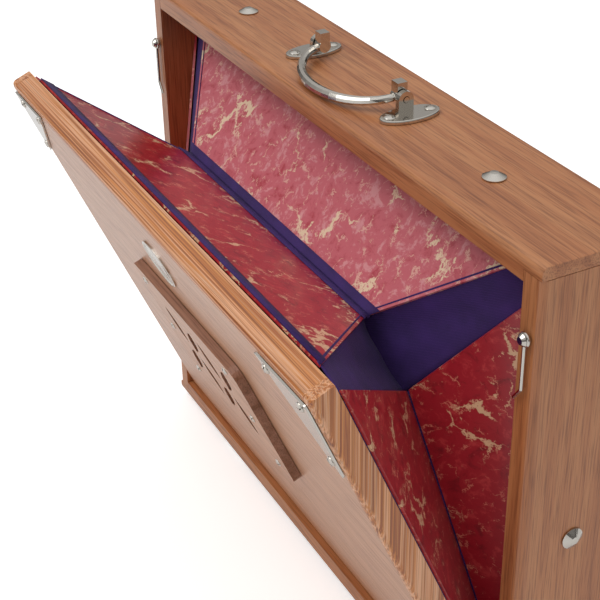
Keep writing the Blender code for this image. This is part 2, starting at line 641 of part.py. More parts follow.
def build_gussets():
    """Cloth triangles that close the corner between the top ribs and each pair of side ribs."""
    reach = TOP_RIB_WIDTH * math.sin(TOP_RIB_INNER_SWING)
    drop = TOP_RIB_WIDTH * math.cos(TOP_RIB_INNER_SWING)
    side_reach = SIDE_RIB_TOP * math.tan(SIDE_RIB_FOLD_ANGLE)
    lift = GUSSET_CLEARANCE
    for side in (-1, 1):
        valley = Vector((side * (TOP_RIB_HINGE_HALF - TOP_RIB_WIDTH + 2 * lift), INNER_PIVOT_Y - reach,
                         TOP_FOLD_Z - drop - lift))
        saddle = Vector((side * (SIDE_FOLD_X - side_reach * math.cos(SIDE_RIB_SWING)),
                         INNER_PIVOT_Y - side_reach * math.sin(SIDE_RIB_SWING), APEX_Z + SIDE_RIB_TOP + 2 * lift))
        hinge_x, peak = side * (TOP_RIB_HINGE_HALF + 2 * lift), SIDE_RIB_TOP + SIDE_RIB_RISE + lift
        inner = (Vector((hinge_x, INNER_PIVOT_Y - lift, TOP_FOLD_Z)),
                 Vector((side * SIDE_FOLD_X, INNER_PIVOT_Y - lift, APEX_Z + peak + lift)))
        outer = (pump_point(hinge_x, OUTER_PIVOT_Y + lift, TOP_FOLD_Z - HINGE_Z),
                 pump_point(side * SIDE_FOLD_X, OUTER_PIVOT_Y + lift, APEX_U + peak + lift))
        bm = bmesh.new()
        rows = []
        for i in range(GUSSET_STEPS + 1):
            share = i / GUSSET_STEPS
            row = []
            for upper, lower in (inner, outer):
                high = upper.lerp(valley, share)
                low = lower.lerp(saddle, share)
                sag = GUSSET_SAG * math.sin(math.pi * share)
                middle = (high + low) / 2 - Vector((side * sag, 0, 0))
                row.append((high, middle, low))
            rows.append(row)
        for half in range(2):
            lines = [[bm.verts.new(p) for p in row[half]] for row in rows]
            for a, b in ((0, 1), (1, 2)):
                for first, second in zip(lines, lines[1:]):
                    bm.faces.new((first[a], second[a], second[b], first[b]))
        bmesh.ops.remove_doubles(bm, verts=bm.verts, dist=0.01 * MM)
        bmesh.ops.recalc_face_normals(bm, faces=bm.faces)
        bmesh.ops.solidify(bm, geom=bm.faces[:], thickness=CLOTH_THICKNESS)
        add_object("gusset_" + side_name(side), bm, "bellows_cloth")


def build_bottom_strip():
    """A leather strip that bridges the gap over the hinges, between the pump board and the partition."""
    over = HINGE_Z + HINGE_KNUCKLE_RADIUS + STRIP_CLEARANCE
    wall = PARTITION_FRONT_Y - SEAT_GAP - STRIP_THICKNESS / 2
    lean = -HINGE_OFFSET + HINGE_LEAF_THICKNESS + 2 * SEAT_GAP + STRIP_THICKNESS / 2
    low = pump_point(0, lean, HINGE_PUMP_LEAF_HEIGHT)
    high = pump_point(0, lean - 0.8 * HINGE_LEAF_THICKNESS, HINGE_PUMP_LEAF_HEIGHT + STRIP_LAP)
    path = [(wall, over + 1.5 * STRIP_LAP), (wall, over + 0.6 * STRIP_LAP),
            (wall - 2 * MM, over + 0.5 * MM), (HINGE_Y - 0.5 * MM, over), (low.y + 2.2 * MM, over + 3.4 * MM),
            (low.y, low.z), (high.y, high.z)]
    half = SIDE_FOLD_X - STRIP_CLEARANCE
    bm = prism(ribbon(path, STRIP_THICKNESS), lambda a, b, c: (c - half, a, b), 2 * half)
    add_object("bottom_strip", bm, "leather")


def build_handle():
    """Two screwed plates with ears, and a drop bail whose pins turn in the ears."""
    top = TOP_Z + SEAT_GAP
    pivot_z = TOP_Z + HANDLE_PIVOT_HEIGHT
    boss_inner = BAIL_HALF_WIDTH - BAIL_BOSS_LENGTH / 2
    boss_outer = boss_inner + BAIL_BOSS_LENGTH
    ear_inner = boss_outer + 2 * RUN_GAP
    ear_outer = ear_inner + HANDLE_EAR_THICKNESS
    for side in (-1, 1):
        middle = side * HANDLE_SPACING / 2
        outline = ellipse(HANDLE_PLATE_WIDTH / 2, HANDLE_PLATE_LENGTH / 2, 32)
        bm = prism(outline, lambda a, b, c: (middle + a, HANDLE_Y + b, top + c), HANDLE_PLATE_THICKNESS)
        round_edges(bm, 0.6 * MM, 2, lambda a, b: a.z > top + 1e-6 and b.z > top + 1e-6)
        plate = add_object("handle_plate_" + side_name(side), bm, "nickel", smooth_angle=40)
        base = top + HANDLE_PLATE_THICKNESS / 2 - pivot_z
        radius = HANDLE_EAR_RADIUS
        ear = [(-radius, base), (radius, base)] + arc((0, 0), radius, 0, 180, 10)
        low = min(side * ear_inner, side * ear_outer)
        join(plate, prism(ear, lambda a, b, c: (low + c, HANDLE_Y + a, pivot_z + b), HANDLE_EAR_THICKNESS))
        cut(plate, rod((side * (ear_inner - MM), HANDLE_Y, pivot_z), (side * (ear_outer + MM), HANDLE_Y, pivot_z),
                       HANDLE_PIN_RADIUS + RUN_GAP))
    pivot = add_pivot("bail_pivot", (0, HANDLE_Y, pivot_z))
    path, radii = [], []
    for i in range(BAIL_STEPS + 1):
        angle = math.pi * i / BAIL_STEPS
        reach = BAIL_REACH * math.sin(angle)
        path.append((BAIL_HALF_WIDTH * math.cos(angle), -reach * math.cos(BAIL_DROOP), -reach * math.sin(BAIL_DROOP)))
        radii.append(BAIL_END_RADIUS + (BAIL_GRIP_RADIUS - BAIL_END_RADIUS) * math.sin(angle))
    bail = add_object("handle_bail", tube(path, radii), "nickel", pivot, smooth_angle=40)
    for side in (-1, 1):
        join(bail, rod((side * boss_inner, 0, 0), (side * boss_outer, 0, 0), BAIL_BOSS_RADIUS, 20))
        join(bail, rod((side * (boss_outer - MM), 0, 0), (side * (ear_outer + RUN_GAP), 0, 0), HANDLE_PIN_RADIUS))
        low, high = sorted((side * boss_inner, side * boss_outer))
        join(bail, box((low, -BAIL_LUG_WIDTH / 2, 0), (high, BAIL_LUG_WIDTH / 2, BAIL_LUG_HEIGHT)))


def build_hooks():
    """Wire hooks on round-head screws in the front edges of the sides."""
    wire_y = FRONT_Y - 2 * SEAT_GAP - HOOK_WIRE_RADIUS - RUN_GAP
    head_y = wire_y - HOOK_WIRE_RADIUS - RUN_GAP
    for side in (-1, 1):
        x = side * (INNER_X + CASE_WALL / 2)
        z = FLOOR_Z + HOOK_HEIGHT
        screw = add_object("hook_screw_" + side_name(side), rod(
            (x, FRONT_Y - SEAT_GAP, z), (x, head_y, z), HOOK_SCREW_RADIUS), "nickel", smooth_angle=40)
        join(screw, rod((x, head_y + 0.05 * MM, z), (x, head_y - 1.4 * MM, z), HOOK_SCREW_HEAD_RADIUS, 20,
                        end_radius=0.6 * HOOK_SCREW_HEAD_RADIUS))
        pivot = add_pivot("hook_pivot_" + side_name(side), (x, wire_y, z))
        eye = [(a, 0, b) for a, b in arc((0, 0), HOOK_EYE_RADIUS, 0, 345, 23)]
        hook = add_object("hook_" + side_name(side), tube(eye, [HOOK_WIRE_RADIUS] * len(eye), closed=True),
                          "nickel", pivot, smooth_angle=40)
        bend = -(HOOK_LENGTH - HOOK_TIP_LENGTH)
        tip = (-side * HOOK_TIP_LENGTH * math.sin(HOOK_TIP_BEND), 0, bend - HOOK_TIP_LENGTH * math.cos(HOOK_TIP_BEND))
        rod_path = [(0, 0, -HOOK_EYE_RADIUS), (0, 0, bend), tip]
        join(hook, tube(rod_path, [HOOK_WIRE_RADIUS] * 3))


def build_cup_screws():
    """Raised-head screws in cup washers, which hold the partition through the top and the sides."""
    profile = [(0, 0), (CUP_RADIUS, 0), (CUP_RADIUS, 0.4 * MM), (CUP_SCREW_RADIUS, CUP_HEIGHT),
               (0.6 * CUP_SCREW_RADIUS, CUP_HEIGHT + 0.7 * MM), (0, CUP_HEIGHT + 0.9 * MM)]
    y = (PARTITION_FRONT_Y + PARTITION_BACK_Y) / 2
    for side in (-1, 1):
        x = side * CUP_SPACING / 2
        bm = lathe(profile, lambda a, b, c: (x + a, y + b, TOP_Z + SEAT_GAP + c))
        add_object("cup_screw_top_" + side_name(side), bm, "nickel", smooth_angle=40)
        face = side * (CASE_WIDTH / 2 + SEAT_GAP)
        z = FLOOR_Z + CASE_HEIGHT / 2
        bm = lathe(profile, lambda a, b, c: (face + side * c, y + a, z + b))
        add_object("cup_screw_" + side_name(side), bm, "nickel", smooth_angle=40)


def build_reservoir():
    """Sprung board at the lower back, its cloth walls, and the leaf spring that presses it shut."""
    bottom, top = FLOOR_Z + RESERVOIR_BOTTOM, FLOOR_Z + RESERVOIR_TOP
    half = RESERVOIR_HALF_WIDTH
    hinge_y = (RESERVOIR_FRONT_Y + RESERVOIR_BACK_Y) / 2
    pivot = add_pivot("reservoir_pivot", (0, hinge_y, bottom))
    bm = box((-half, -RESERVOIR_BOARD_THICKNESS / 2, 0), (half, RESERVOIR_BOARD_THICKNESS / 2, top - bottom))
    add_object("reservoir_board", bm, "plain_wood", pivot)
    inset = 2 * MM
    front, back = PARTITION_BACK_Y + SEAT_GAP, RESERVOIR_FRONT_Y - SEAT_GAP
    cloth = add_object("reservoir_cloth", box((-half + inset, front, bottom + inset),
                                              (half - inset, back, top - inset)), "bellows_cloth")
    inset += RESERVOIR_CLOTH_WIDTH
    cut(cloth, box((-half + inset, front - MM, bottom + inset), (half - inset, back + MM, top - inset)))
    contact_y = RESERVOIR_BACK_Y + SEAT_GAP + SPRING_THICKNESS / 2
    base_z = INNER_BOTTOM + SEAT_GAP + SPRING_THICKNESS / 2
    contact_z = FLOOR_Z + SPRING_CONTACT_HEIGHT
    foot_y = contact_y + SPRING_FOOT_SETBACK
    path = [(foot_y + SPRING_FOOT_LENGTH, base_z), (foot_y + 2 * MM, base_z), (foot_y, base_z + 3 * MM)]
    for i in range(1, 9):
        share = i / 8
        path.append((foot_y + (contact_y - foot_y) * share ** 0.7, base_z + 3 * MM + (contact_z - base_z - 3 * MM) * share))
    path.append((contact_y + 2 * MM, contact_z + 6 * MM))
    bm = prism(ribbon(path, SPRING_THICKNESS), lambda a, b, c: (c - SPRING_WIDTH / 2, a, b), SPRING_WIDTH)
    add_object("reservoir_spring", bm, "steel")


def note_x(i):
    return (i - (NOTE_COUNT - 1) / 2) * NOTE_PITCH


def build_reeds():
    """Chamber frame, reed board with a bearing block at each end, and the reed plate inside."""
    half = INNER_X - SEAT_GAP
    bottom, top = FLOOR_Z + CHAMBER_BOTTOM, INNER_TOP - SEAT_GAP
    front = PARTITION_BACK_Y + SEAT_GAP
    frame = add_object("reed_chamber_frame", box((-half, front, bottom), (half, CHAMBER_BACK_Y, top)), "plain_wood")
    rail = CHAMBER_RAIL
    cut(frame, box((-half + rail, front - MM, bottom + rail), (half - rail, CHAMBER_BACK_Y + MM, top - rail)))
    slots = bmesh.new()
    for i in (-1, 0, 1):
        x = i * half / 2
        box((x - 3 * rail, front + 0.3 * CHAMBER_DEPTH, bottom - MM),
            (x + 3 * rail, front + 0.7 * CHAMBER_DEPTH, bottom + rail + MM), slots)
    cut(frame, slots)

    hole_z = FLOOR_Z + NOTE_HOLE_CENTRE
    board = add_object("reed_board", box((-half, REED_BOARD_FRONT_Y, bottom), (half, REED_BOARD_BACK_Y, top)),
                       "plain_wood")
    holes, plate_slots, tongues = bmesh.new(), bmesh.new(), bmesh.new()
    plate_back = CHAMBER_BACK_Y
    plate_front = plate_back - REED_PLATE_THICKNESS
    tongue_front = plate_front + 0.1 * MM - REED_TONGUE_THICKNESS
    for i in range(NOTE_COUNT):
        x = note_x(i)
        for low_y, high_y, width, bm in ((REED_BOARD_FRONT_Y, REED_BOARD_BACK_Y, NOTE_HOLE_WIDTH, holes),
                                         (plate_front, plate_back, REED_SLOT_WIDTH, plate_slots)):
            box((x - width / 2, low_y - MM, hole_z - NOTE_HOLE_HEIGHT / 2),
                (x + width / 2, high_y + MM, hole_z + NOTE_HOLE_HEIGHT / 2), bm)
        box((x - REED_TONGUE_WIDTH / 2, tongue_front, hole_z - NOTE_HOLE_HEIGHT / 2 - 6 * MM),
            (x + REED_TONGUE_WIDTH / 2, tongue_front + REED_TONGUE_THICKNESS, hole_z + NOTE_HOLE_HEIGHT / 2 - MM), tongues)
    cut(board, holes)
    end = NOTE_COUNT * NOTE_PITCH / 2 + 4 * MM
    for side in (-1, 1):
        low, high = sorted((side * end, side * (end + BEARING_WIDTH)))
        join(board, box((low, REED_BOARD_BACK_Y - MM, KEY_AXLE_Z - BEARING_HEIGHT / 2),
                        (high, KEY_AXLE_Y + BEARING_HEIGHT / 3, KEY_AXLE_Z + BEARING_HEIGHT / 2)))
    cut(board, rod((-half, KEY_AXLE_Y, KEY_AXLE_Z), (half, KEY_AXLE_Y, KEY_AXLE_Z), KEY_AXLE_RADIUS + RUN_GAP, 16))
    plate = add_object("reed_plate", box((-end, plate_front, hole_z - REED_PLATE_HEIGHT / 2),
                                         (end, plate_back, hole_z + REED_PLATE_HEIGHT / 2)), "brass")
    cut(plate, plate_slots)
    join(plate, tongues)


def build_keys():
    """Thirteen pallet keys that turn on one axle and stay where they are set."""
    reach = NOTE_COUNT * NOTE_PITCH / 2 + 4 * MM + BEARING_WIDTH + 2 * MM
    add_object("key_axle", rod((-reach, KEY_AXLE_Y, KEY_AXLE_Z), (reach, KEY_AXLE_Y, KEY_AXLE_Z), KEY_AXLE_RADIUS),
               "steel", smooth_angle=40)
    front = REED_BOARD_BACK_Y + SEAT_GAP - KEY_AXLE_Y
    back = front + KEY_PALLET_THICKNESS
    neck = KEY_HEIGHT - KEY_TAB_HEIGHT
    outline = [(front, 0), (back, 0), (back, neck), (back + 1.5 * MM, neck + 2 * MM), (KEY_TAB_REACH, KEY_HEIGHT - 3 * MM),
               (KEY_TAB_REACH, KEY_HEIGHT), (back, KEY_HEIGHT), (front, KEY_HEIGHT - 4 * MM)]
    for i in range(NOTE_COUNT):
        pivot = add_pivot("key_pivot_%02d" % (i + 1), (note_x(i), KEY_AXLE_Y, KEY_AXLE_Z))
        bm = prism(outline, lambda a, b, c: (c - KEY_WIDTH / 2, a, b), KEY_WIDTH)
        key = add_object("key_%02d" % (i + 1), bm, "plain_wood", pivot)
        join(key, rod((-KEY_WIDTH / 2, 0, 0), (KEY_WIDTH / 2, 0, 0), KEY_BARREL_RADIUS, 20))
        cut(key, rod((-KEY_WIDTH, 0, 0), (KEY_WIDTH, 0, 0), KEY_AXLE_RADIUS + RUN_GAP, 16))


def main():
    clear_scene()
    build_case()
    build_feet()
    build_partition()
    pump = add_pivot("pump_pivot", (0, HINGE_Y, HINGE_Z), (PUMP_OPEN_ANGLE, 0, 0))
    build_pump(pump)
    build_grille(pump)
    build_corner_plates(pump)
    build_hinges(pump)
    build_top_ribs(pump)
    build_side_ribs(pump)
    build_gussets()
    build_bottom_strip()
    build_handle()
    build_hooks()
    build_cup_screws()
    build_reservoir()
    build_reeds()
    build_keys()


main()
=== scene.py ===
"""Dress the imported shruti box: woods, marbled card, cloth and nickel, lit as in a plain studio."""

import json
import logging
import math
from dataclasses import dataclass
from enum import Enum

import bmesh
import bpy
from mathutils import Matrix, Vector


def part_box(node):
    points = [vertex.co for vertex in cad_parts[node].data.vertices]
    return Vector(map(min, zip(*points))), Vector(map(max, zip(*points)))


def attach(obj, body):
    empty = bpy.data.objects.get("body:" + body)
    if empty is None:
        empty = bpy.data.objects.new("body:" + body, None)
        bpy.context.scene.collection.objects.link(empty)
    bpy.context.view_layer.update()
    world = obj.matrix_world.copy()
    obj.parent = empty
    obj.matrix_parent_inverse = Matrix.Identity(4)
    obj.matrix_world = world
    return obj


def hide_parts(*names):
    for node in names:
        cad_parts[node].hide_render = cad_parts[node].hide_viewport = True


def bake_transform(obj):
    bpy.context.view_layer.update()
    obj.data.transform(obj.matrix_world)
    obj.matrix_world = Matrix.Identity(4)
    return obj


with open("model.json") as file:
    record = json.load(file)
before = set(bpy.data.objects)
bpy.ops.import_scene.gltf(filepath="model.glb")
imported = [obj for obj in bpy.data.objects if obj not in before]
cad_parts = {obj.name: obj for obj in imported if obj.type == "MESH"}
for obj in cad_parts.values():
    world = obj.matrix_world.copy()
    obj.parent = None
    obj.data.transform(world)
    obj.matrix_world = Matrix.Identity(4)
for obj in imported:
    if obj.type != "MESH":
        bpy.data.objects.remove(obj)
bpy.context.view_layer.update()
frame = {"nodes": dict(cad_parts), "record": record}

LOG = logging.getLogger("shruti_box")
MM = 0.001
# Blender's wave texture repeats at this length when its scale is 1.
WAVE_PERIOD = math.pi / 10
# How finely the cloth is divided along the valley, a fold, an edge and a gusset.
VALLEY_STEPS = 40
FOLD_STEPS = 30
EDGE_STEPS = 6
GUSSET_STEPS = 24
GUSSET_ROWS = 10
Point2 = tuple[float, float]


class Grain(Enum):
    """Direction that a wood's grain runs in."""

    ACROSS = 0
    UPRIGHT = 2


def srgb(code: str) -> tuple[float, float, float, float]:
    """Turn an sRGB hex code into a linear colour.

    Args:
        code: Six hex digits.

    Returns:
        Linear red, green, blue and alpha.
    """
    parts = [int(code[i:i + 2], 16) / 255 for i in (0, 2, 4)]
    linear = [c / 12.92 if c <= 0.04045 else ((c + 0.055) / 1.055) ** 2.4 for c in parts]
    return (*linear, 1.0)


def add_node(tree: bpy.types.NodeTree, kind: str, inputs: dict | None = None, **props) -> bpy.types.Node:
    """Add a shader node, with values or links for its inputs.

    Args:
        tree: Node tree to add to.
        kind: Node type without its ShaderNode prefix.
        inputs: Socket name or index to a value or an output socket.
        **props: Attributes to set on the node.

    Returns:
        The new node.
    """
    node = tree.nodes.new("ShaderNode" + kind)
    for key, value in props.items():
        setattr(node, key, value)
    for key, value in (inputs or {}).items():
        if isinstance(value, bpy.types.NodeSocket):
            tree.links.new(value, node.inputs[key])
        else:
            node.inputs[key].default_value = value
    return node


def ramp(tree: bpy.types.NodeTree, factor: bpy.types.NodeSocket,
         stops: list[tuple[float, str]]) -> bpy.types.NodeSocket:
    """Add a colour ramp.

    Args:
        tree: Node tree to add to.
        factor: Socket that drives the ramp.
        stops: Position and hex colour of each stop.

    Returns:
        The ramp's colour socket.
    """
    node = add_node(tree, "ValToRGB", {"Fac": factor})
    points = node.color_ramp.elements
    while len(points) < len(stops):
        points.new(0.5)
    for point, (place, code) in zip(points, stops):
        point.position = place
        point.color = srgb(code)
    return node.outputs["Color"]


def start_material(name: str) -> tuple[bpy.types.Material, bpy.types.NodeTree, bpy.types.Node]:
    """Make a material with a node tree.

    Args:
        name: Name of the material.

    Returns:
        The material, its node tree and its surface shader.
    """
    made = bpy.data.materials.new(name)
    made.use_nodes = True
    tree = made.node_tree
    return made, tree, tree.nodes["Principled BSDF"]


def mapped(tree: bpy.types.NodeTree, scale: tuple[float, float, float]) -> bpy.types.NodeSocket:
    """Scale the object's own coordinates, which are in metres.

    Args:
        tree: Node tree to add to.
        scale: Factor for each axis.

    Returns:
        The socket of the scaled coordinates.
    """
    coords = add_node(tree, "TexCoord").outputs["Object"]
    return add_node(tree, "Mapping", {"Vector": coords, "Scale": scale}).outputs["Vector"]


def add_bump(tree: bpy.types.NodeTree, shader: bpy.types.Node, height: bpy.types.NodeSocket, depth: float) -> None:
    """Drive the shader's normal from a height.

    Args:
        tree: Node tree to add to.
        shader: Surface shader that gets the normal.
        height: Socket of the height, from 0 to 1.
        depth: Depth in metres that a height of 1 stands for.
    """
    bump = add_node(tree, "Bump", {"Height": height, "Distance": depth, "Strength": 0.6})
    tree.links.new(bump.outputs["Normal"], shader.inputs["Normal"])


@dataclass(frozen=True)
class Wood:
    """Lacquered timber or veneer: a broad figure, fine dark pores and a clear coat.

    Attributes:
        name: Name of the material.
        stops: Place and hex colour of each stop of the figure's ramp.
        figure: Width of the figure's bands.
        grain: Axis that the grain runs along.
        roughness: Roughness of the lacquer between the pores.
        coat: Weight of the clear coat.
        pore_depth: Depth of the pores.
        stretch: Scale of the pattern along the grain, against 1 across it.
    """

    name: str
    stops: tuple[tuple[float, str], ...]
    figure: float
    grain: Grain = Grain.ACROSS
    roughness: float = 0.4
    coat: float = 0.35
    pore_depth: float = 0.04 * MM
    stretch: float = 0.035

    def scale(self, per_metre: float, grain: Grain) -> tuple[float, float, float]:
        """Return a pattern scale that is stretched along the grain."""
        return tuple(per_metre * (self.stretch if axis == grain.value else 1.0) for axis in range(3))

    def colour(self, tree: bpy.types.NodeTree, grain: Grain) -> tuple[bpy.types.NodeSocket, bpy.types.NodeSocket]:
        """Return the wood's colour and its pore height for one grain direction."""
        broad = add_node(tree, "TexNoise", {"Vector": mapped(tree, self.scale(1 / self.figure, grain)),
                                            "Scale": 1.0, "Detail": 5.0, "Roughness": 0.6, "Distortion": 0.4})
        fine = add_node(tree, "TexNoise", {"Vector": mapped(tree, self.scale(1 / (0.8 * MM), grain)),
                                           "Scale": 1.0, "Detail": 3.0, "Roughness": 0.5})
        base = ramp(tree, broad.outputs["Fac"], list(self.stops))
        pores = ramp(tree, fine.outputs["Fac"], [(0.34, "a08c80"), (0.52, "ffffff")])
        mix = add_node(tree, "Mix", {0: 0.55, 6: base, 7: pores}, data_type="RGBA", blend_type="MULTIPLY")
        return mix.outputs[2], fine.outputs["Fac"]

    def material(self) -> bpy.types.Material:
        """Make the wood's material."""
        made, tree, shader = start_material(self.name)
        colour, pores = self.colour(tree, self.grain)
        tree.links.new(colour, shader.inputs["Base Color"])
        self.surface(tree, shader, pores)
        return made

    def surface(self, tree: bpy.types.NodeTree, shader: bpy.types.Node, pores: bpy.types.NodeSocket) -> None:
        """Set the lacquer: roughness that follows the pores, and a thin coat."""
        rough = add_node(tree, "MapRange", {"Value": pores, "To Min": self.roughness + 0.1,
                                            "To Max": self.roughness - 0.05})
        tree.links.new(rough.outputs["Result"], shader.inputs["Roughness"])
        shader.inputs["Coat Weight"].default_value = self.coat
        shader.inputs["Coat Roughness"].default_value = 0.22
        add_bump(tree, shader, pores, self.pore_depth)


@dataclass(frozen=True)
class FramedWood(Wood):
    """Lipping wood: its grain turns upright on the two side members.

    Attributes:
        side_from: Distance from the middle at which a side member starts.
    """

    side_from: float = 180 * MM

    def material(self) -> bpy.types.Material:
        """Make a material whose grain follows each member of the frame."""
        made, tree, shader = start_material(self.name)
        flat, pores = self.colour(tree, Grain.ACROSS)
        upright, _ = self.colour(tree, Grain.UPRIGHT)
        coords = add_node(tree, "TexCoord").outputs["Object"]
        x = add_node(tree, "SeparateXYZ", {"Vector": coords}).outputs["X"]
        size = add_node(tree, "Math", {0: x}, operation="ABSOLUTE").outputs[0]
        mask = add_node(tree, "Math", {0: size, 1: self.side_from}, operation="GREATER_THAN").outputs[0]
        mix = add_node(tree, "Mix", {0: mask, 6: flat, 7: upright}, data_type="RGBA")
        tree.links.new(mix.outputs[2], shader.inputs["Base Color"])
        self.surface(tree, shader, pores)
        return made


@dataclass(frozen=True)
class FacedWood(Wood):
    """Block with a veneered face and bare walls of another wood."""

    wall: tuple[tuple[float, str], ...] = ((0.3, "7a4a28"), (0.7, "b08068"))
    facing: tuple[float, float, float] = (0.0, -1.0, 0.0)

    def material(self) -> bpy.types.Material:
        """Make a material that shows the face veneer only where the surface looks forwards."""
        made, tree, shader = start_material(self.name)
        face, pores = self.colour(tree, self.grain)
        walls = Wood(self.name, self.wall, self.figure).colour(tree, self.grain)[0]
        normal = add_node(tree, "TexCoord").outputs["Normal"]
        dot = add_node(tree, "VectorMath", {0: normal, 1: self.facing}, operation="DOT_PRODUCT").outputs["Value"]
        mask = add_node(tree, "Math", {0: dot, 1: 0.9}, operation="GREATER_THAN").outputs[0]
        mix = add_node(tree, "Mix", {0: mask, 6: walls, 7: face}, data_type="RGBA")
        tree.links.new(mix.outputs[2], shader.inputs["Base Color"])
        self.surface(tree, shader, pores)
        return made


@dataclass(frozen=True)
class Metal:
    """Plated or drawn metal, with faint handling marks in its polish."""

    name: str
    colour: str
    roughness: float

    def material(self) -> bpy.types.Material:
        """Make the metal's material."""
        made, tree, shader = start_material(self.name)
        marks = add_node(tree, "TexNoise", {"Vector": mapped(tree, (260.0, 260.0, 260.0)), "Scale": 1.0,
                                            "Detail": 6.0, "Roughness": 0.7}).outputs["Fac"]
        shader.inputs["Base Color"].default_value = srgb(self.colour)
        shader.inputs["Metallic"].default_value = 1.0
        rough = add_node(tree, "MapRange", {"Value": marks, "To Min": self.roughness * 0.7,
                                            "To Max": self.roughness * 1.5})
        tree.links.new(rough.outputs["Result"], shader.inputs["Roughness"])
        add_bump(tree, shader, marks, 0.01 * MM)
        return made


@dataclass(frozen=True)
class MarbledCard:
    """Glazed marbled paper over card: mottled red ground with branching cream veins.

    Attributes:
        name: Name of the material.
        grounds: Dark, middle and light colour of the mottled ground.
        veins: Colours of the wide and of the fine veins.
        patch: Size of the ground's patches.
        vein: Size of the cells between the wide veins.
        roughness: Roughness of the glaze.
    """

    name: str
    grounds: tuple[str, str, str]
    veins: tuple[str, str]
    patch: float = 9 * MM
    vein: float = 26 * MM
    roughness: float = 0.34

    def crackle(self, tree: bpy.types.NodeTree, size: float, width: float) -> bpy.types.NodeSocket:
        """Return a mask of wandering veins, for cells of a given size and a vein width in cell sizes."""
        place = mapped(tree, (1 / size, 0.6 / size, 1 / size))
        wander = add_node(tree, "TexNoise", {"Vector": place, "Scale": 2.2, "Detail": 5.0, "Roughness": 0.65})
        push = add_node(tree, "VectorMath", {0: wander.outputs["Color"], 1: (1.1, 1.1, 1.1)},
                        operation="MULTIPLY").outputs["Vector"]
        moved = add_node(tree, "VectorMath", {0: place, 1: push}, operation="ADD").outputs["Vector"]
        cells = add_node(tree, "TexVoronoi", {"Vector": moved, "Scale": 1.0}, feature="DISTANCE_TO_EDGE")
        fade = add_node(tree, "TexNoise", {"Vector": place, "Scale": 1.3, "Detail": 3.0}).outputs["Fac"]
        reach = add_node(tree, "MapRange", {"Value": fade, "From Min": 0.42, "From Max": 0.68, "To Min": -0.03,
                                            "To Max": width}).outputs["Result"]
        gap = add_node(tree, "Math", {0: reach, 1: cells.outputs["Distance"]}, operation="SUBTRACT").outputs[0]
        return add_node(tree, "MapRange", {"Value": gap, "From Min": -0.01, "From Max": 0.02}).outputs["Result"]

    def material(self) -> bpy.types.Material:
        """Make the marbled paper's material."""
        made, tree, shader = start_material(self.name)
        place = mapped(tree, (1 / self.patch,) * 3)
        mottle = add_node(tree, "TexNoise", {"Vector": place, "Scale": 1.0, "Detail": 7.0, "Roughness": 0.7,
                                             "Distortion": 0.5}).outputs["Fac"]
        dark, middle, light = self.grounds
        colour = ramp(tree, mottle, [(0.34, dark), (0.46, middle), (0.54, middle), (0.62, light)])
        for size, width, tint in ((self.vein, 0.07, self.veins[0]), (self.vein / 3.4, 0.06, self.veins[1])):
            mask = self.crackle(tree, size, width)
            colour = add_node(tree, "Mix", {0: mask, 6: colour, 7: srgb(tint)}, data_type="RGBA").outputs[2]
        tree.links.new(colour, shader.inputs["Base Color"])
        shader.inputs["Roughness"].default_value = self.roughness
        shader.inputs["Coat Weight"].default_value = 0.5
        shader.inputs["Coat Roughness"].default_value = 0.2
        tooth = add_node(tree, "TexNoise", {"Vector": mapped(tree, (1600.0, 1600.0, 1600.0)), "Scale": 1.0})
        add_bump(tree, shader, tooth.outputs["Fac"], 0.03 * MM)
        return made


@dataclass(frozen=True)
class Cloth:
    """Woven bookbinding cloth: two sets of threads at right angles, with a soft sheen.

    Attributes:
        name: Name of the material.
        thread: Colour of the raised threads.
        shade: Colour between the threads.
        pitch: Spacing of the threads, wider than real so that it shows in the render.
        sheen: Weight of the fibres' sheen.
    """

    name: str
    thread: str
    shade: str
    pitch: float = 0.7 * MM
    sheen: float = 0.5

    def material(self) -> bpy.types.Material:
        """Make the cloth's material."""
        made, tree, shader = start_material(self.name)
        place = mapped(tree, (1.0, 1.0, 1.0))
        waves = [add_node(tree, "TexWave", {"Vector": place, "Scale": WAVE_PERIOD / self.pitch, "Distortion": 0.3},
                          wave_type="BANDS", bands_direction=way).outputs["Fac"] for way in ("X", "DIAGONAL")]
        weave = add_node(tree, "Math", {0: waves[0], 1: waves[1]}, operation="MULTIPLY").outputs[0]
        wear = add_node(tree, "TexNoise", {"Vector": mapped(tree, (70.0, 70.0, 70.0)), "Scale": 1.0,
                                           "Detail": 4.0}).outputs["Fac"]
        both = add_node(tree, "Math", {0: weave, 1: wear}, operation="ADD").outputs[0]
        half = add_node(tree, "Math", {0: both, 1: 0.6}, operation="MULTIPLY").outputs[0]
        tree.links.new(ramp(tree, half, [(0.2, self.shade), (0.8, self.thread)]), shader.inputs["Base Color"])
        shader.inputs["Roughness"].default_value = 0.8
        shader.inputs["Sheen Weight"].default_value = self.sheen
        shader.inputs["Sheen Roughness"].default_value = 0.45
        add_bump(tree, shader, weave, 0.12 * MM)
        return made


# Screws: distances from the edges of what they hold, and the radii of their heads.
GRILLE_SCREW_X = 51 * MM
GRILLE_SCREW_LOW = 7.5 * MM
GRILLE_SCREW_HIGH = 7 * MM
GRILLE_SCREW_RADIUS = 2.4 * MM
CORNER_SCREWS = ((8 * MM, 6 * MM), (38 * MM, 5 * MM), (5 * MM, 38 * MM))
CORNER_SCREW_RADIUS = 2.6 * MM
HANDLE_PLATE_RISE = 2.1 * MM
HANDLE_SCREW_INSET = 5 * MM
HANDLE_SCREW_RADIUS = 3.0 * MM
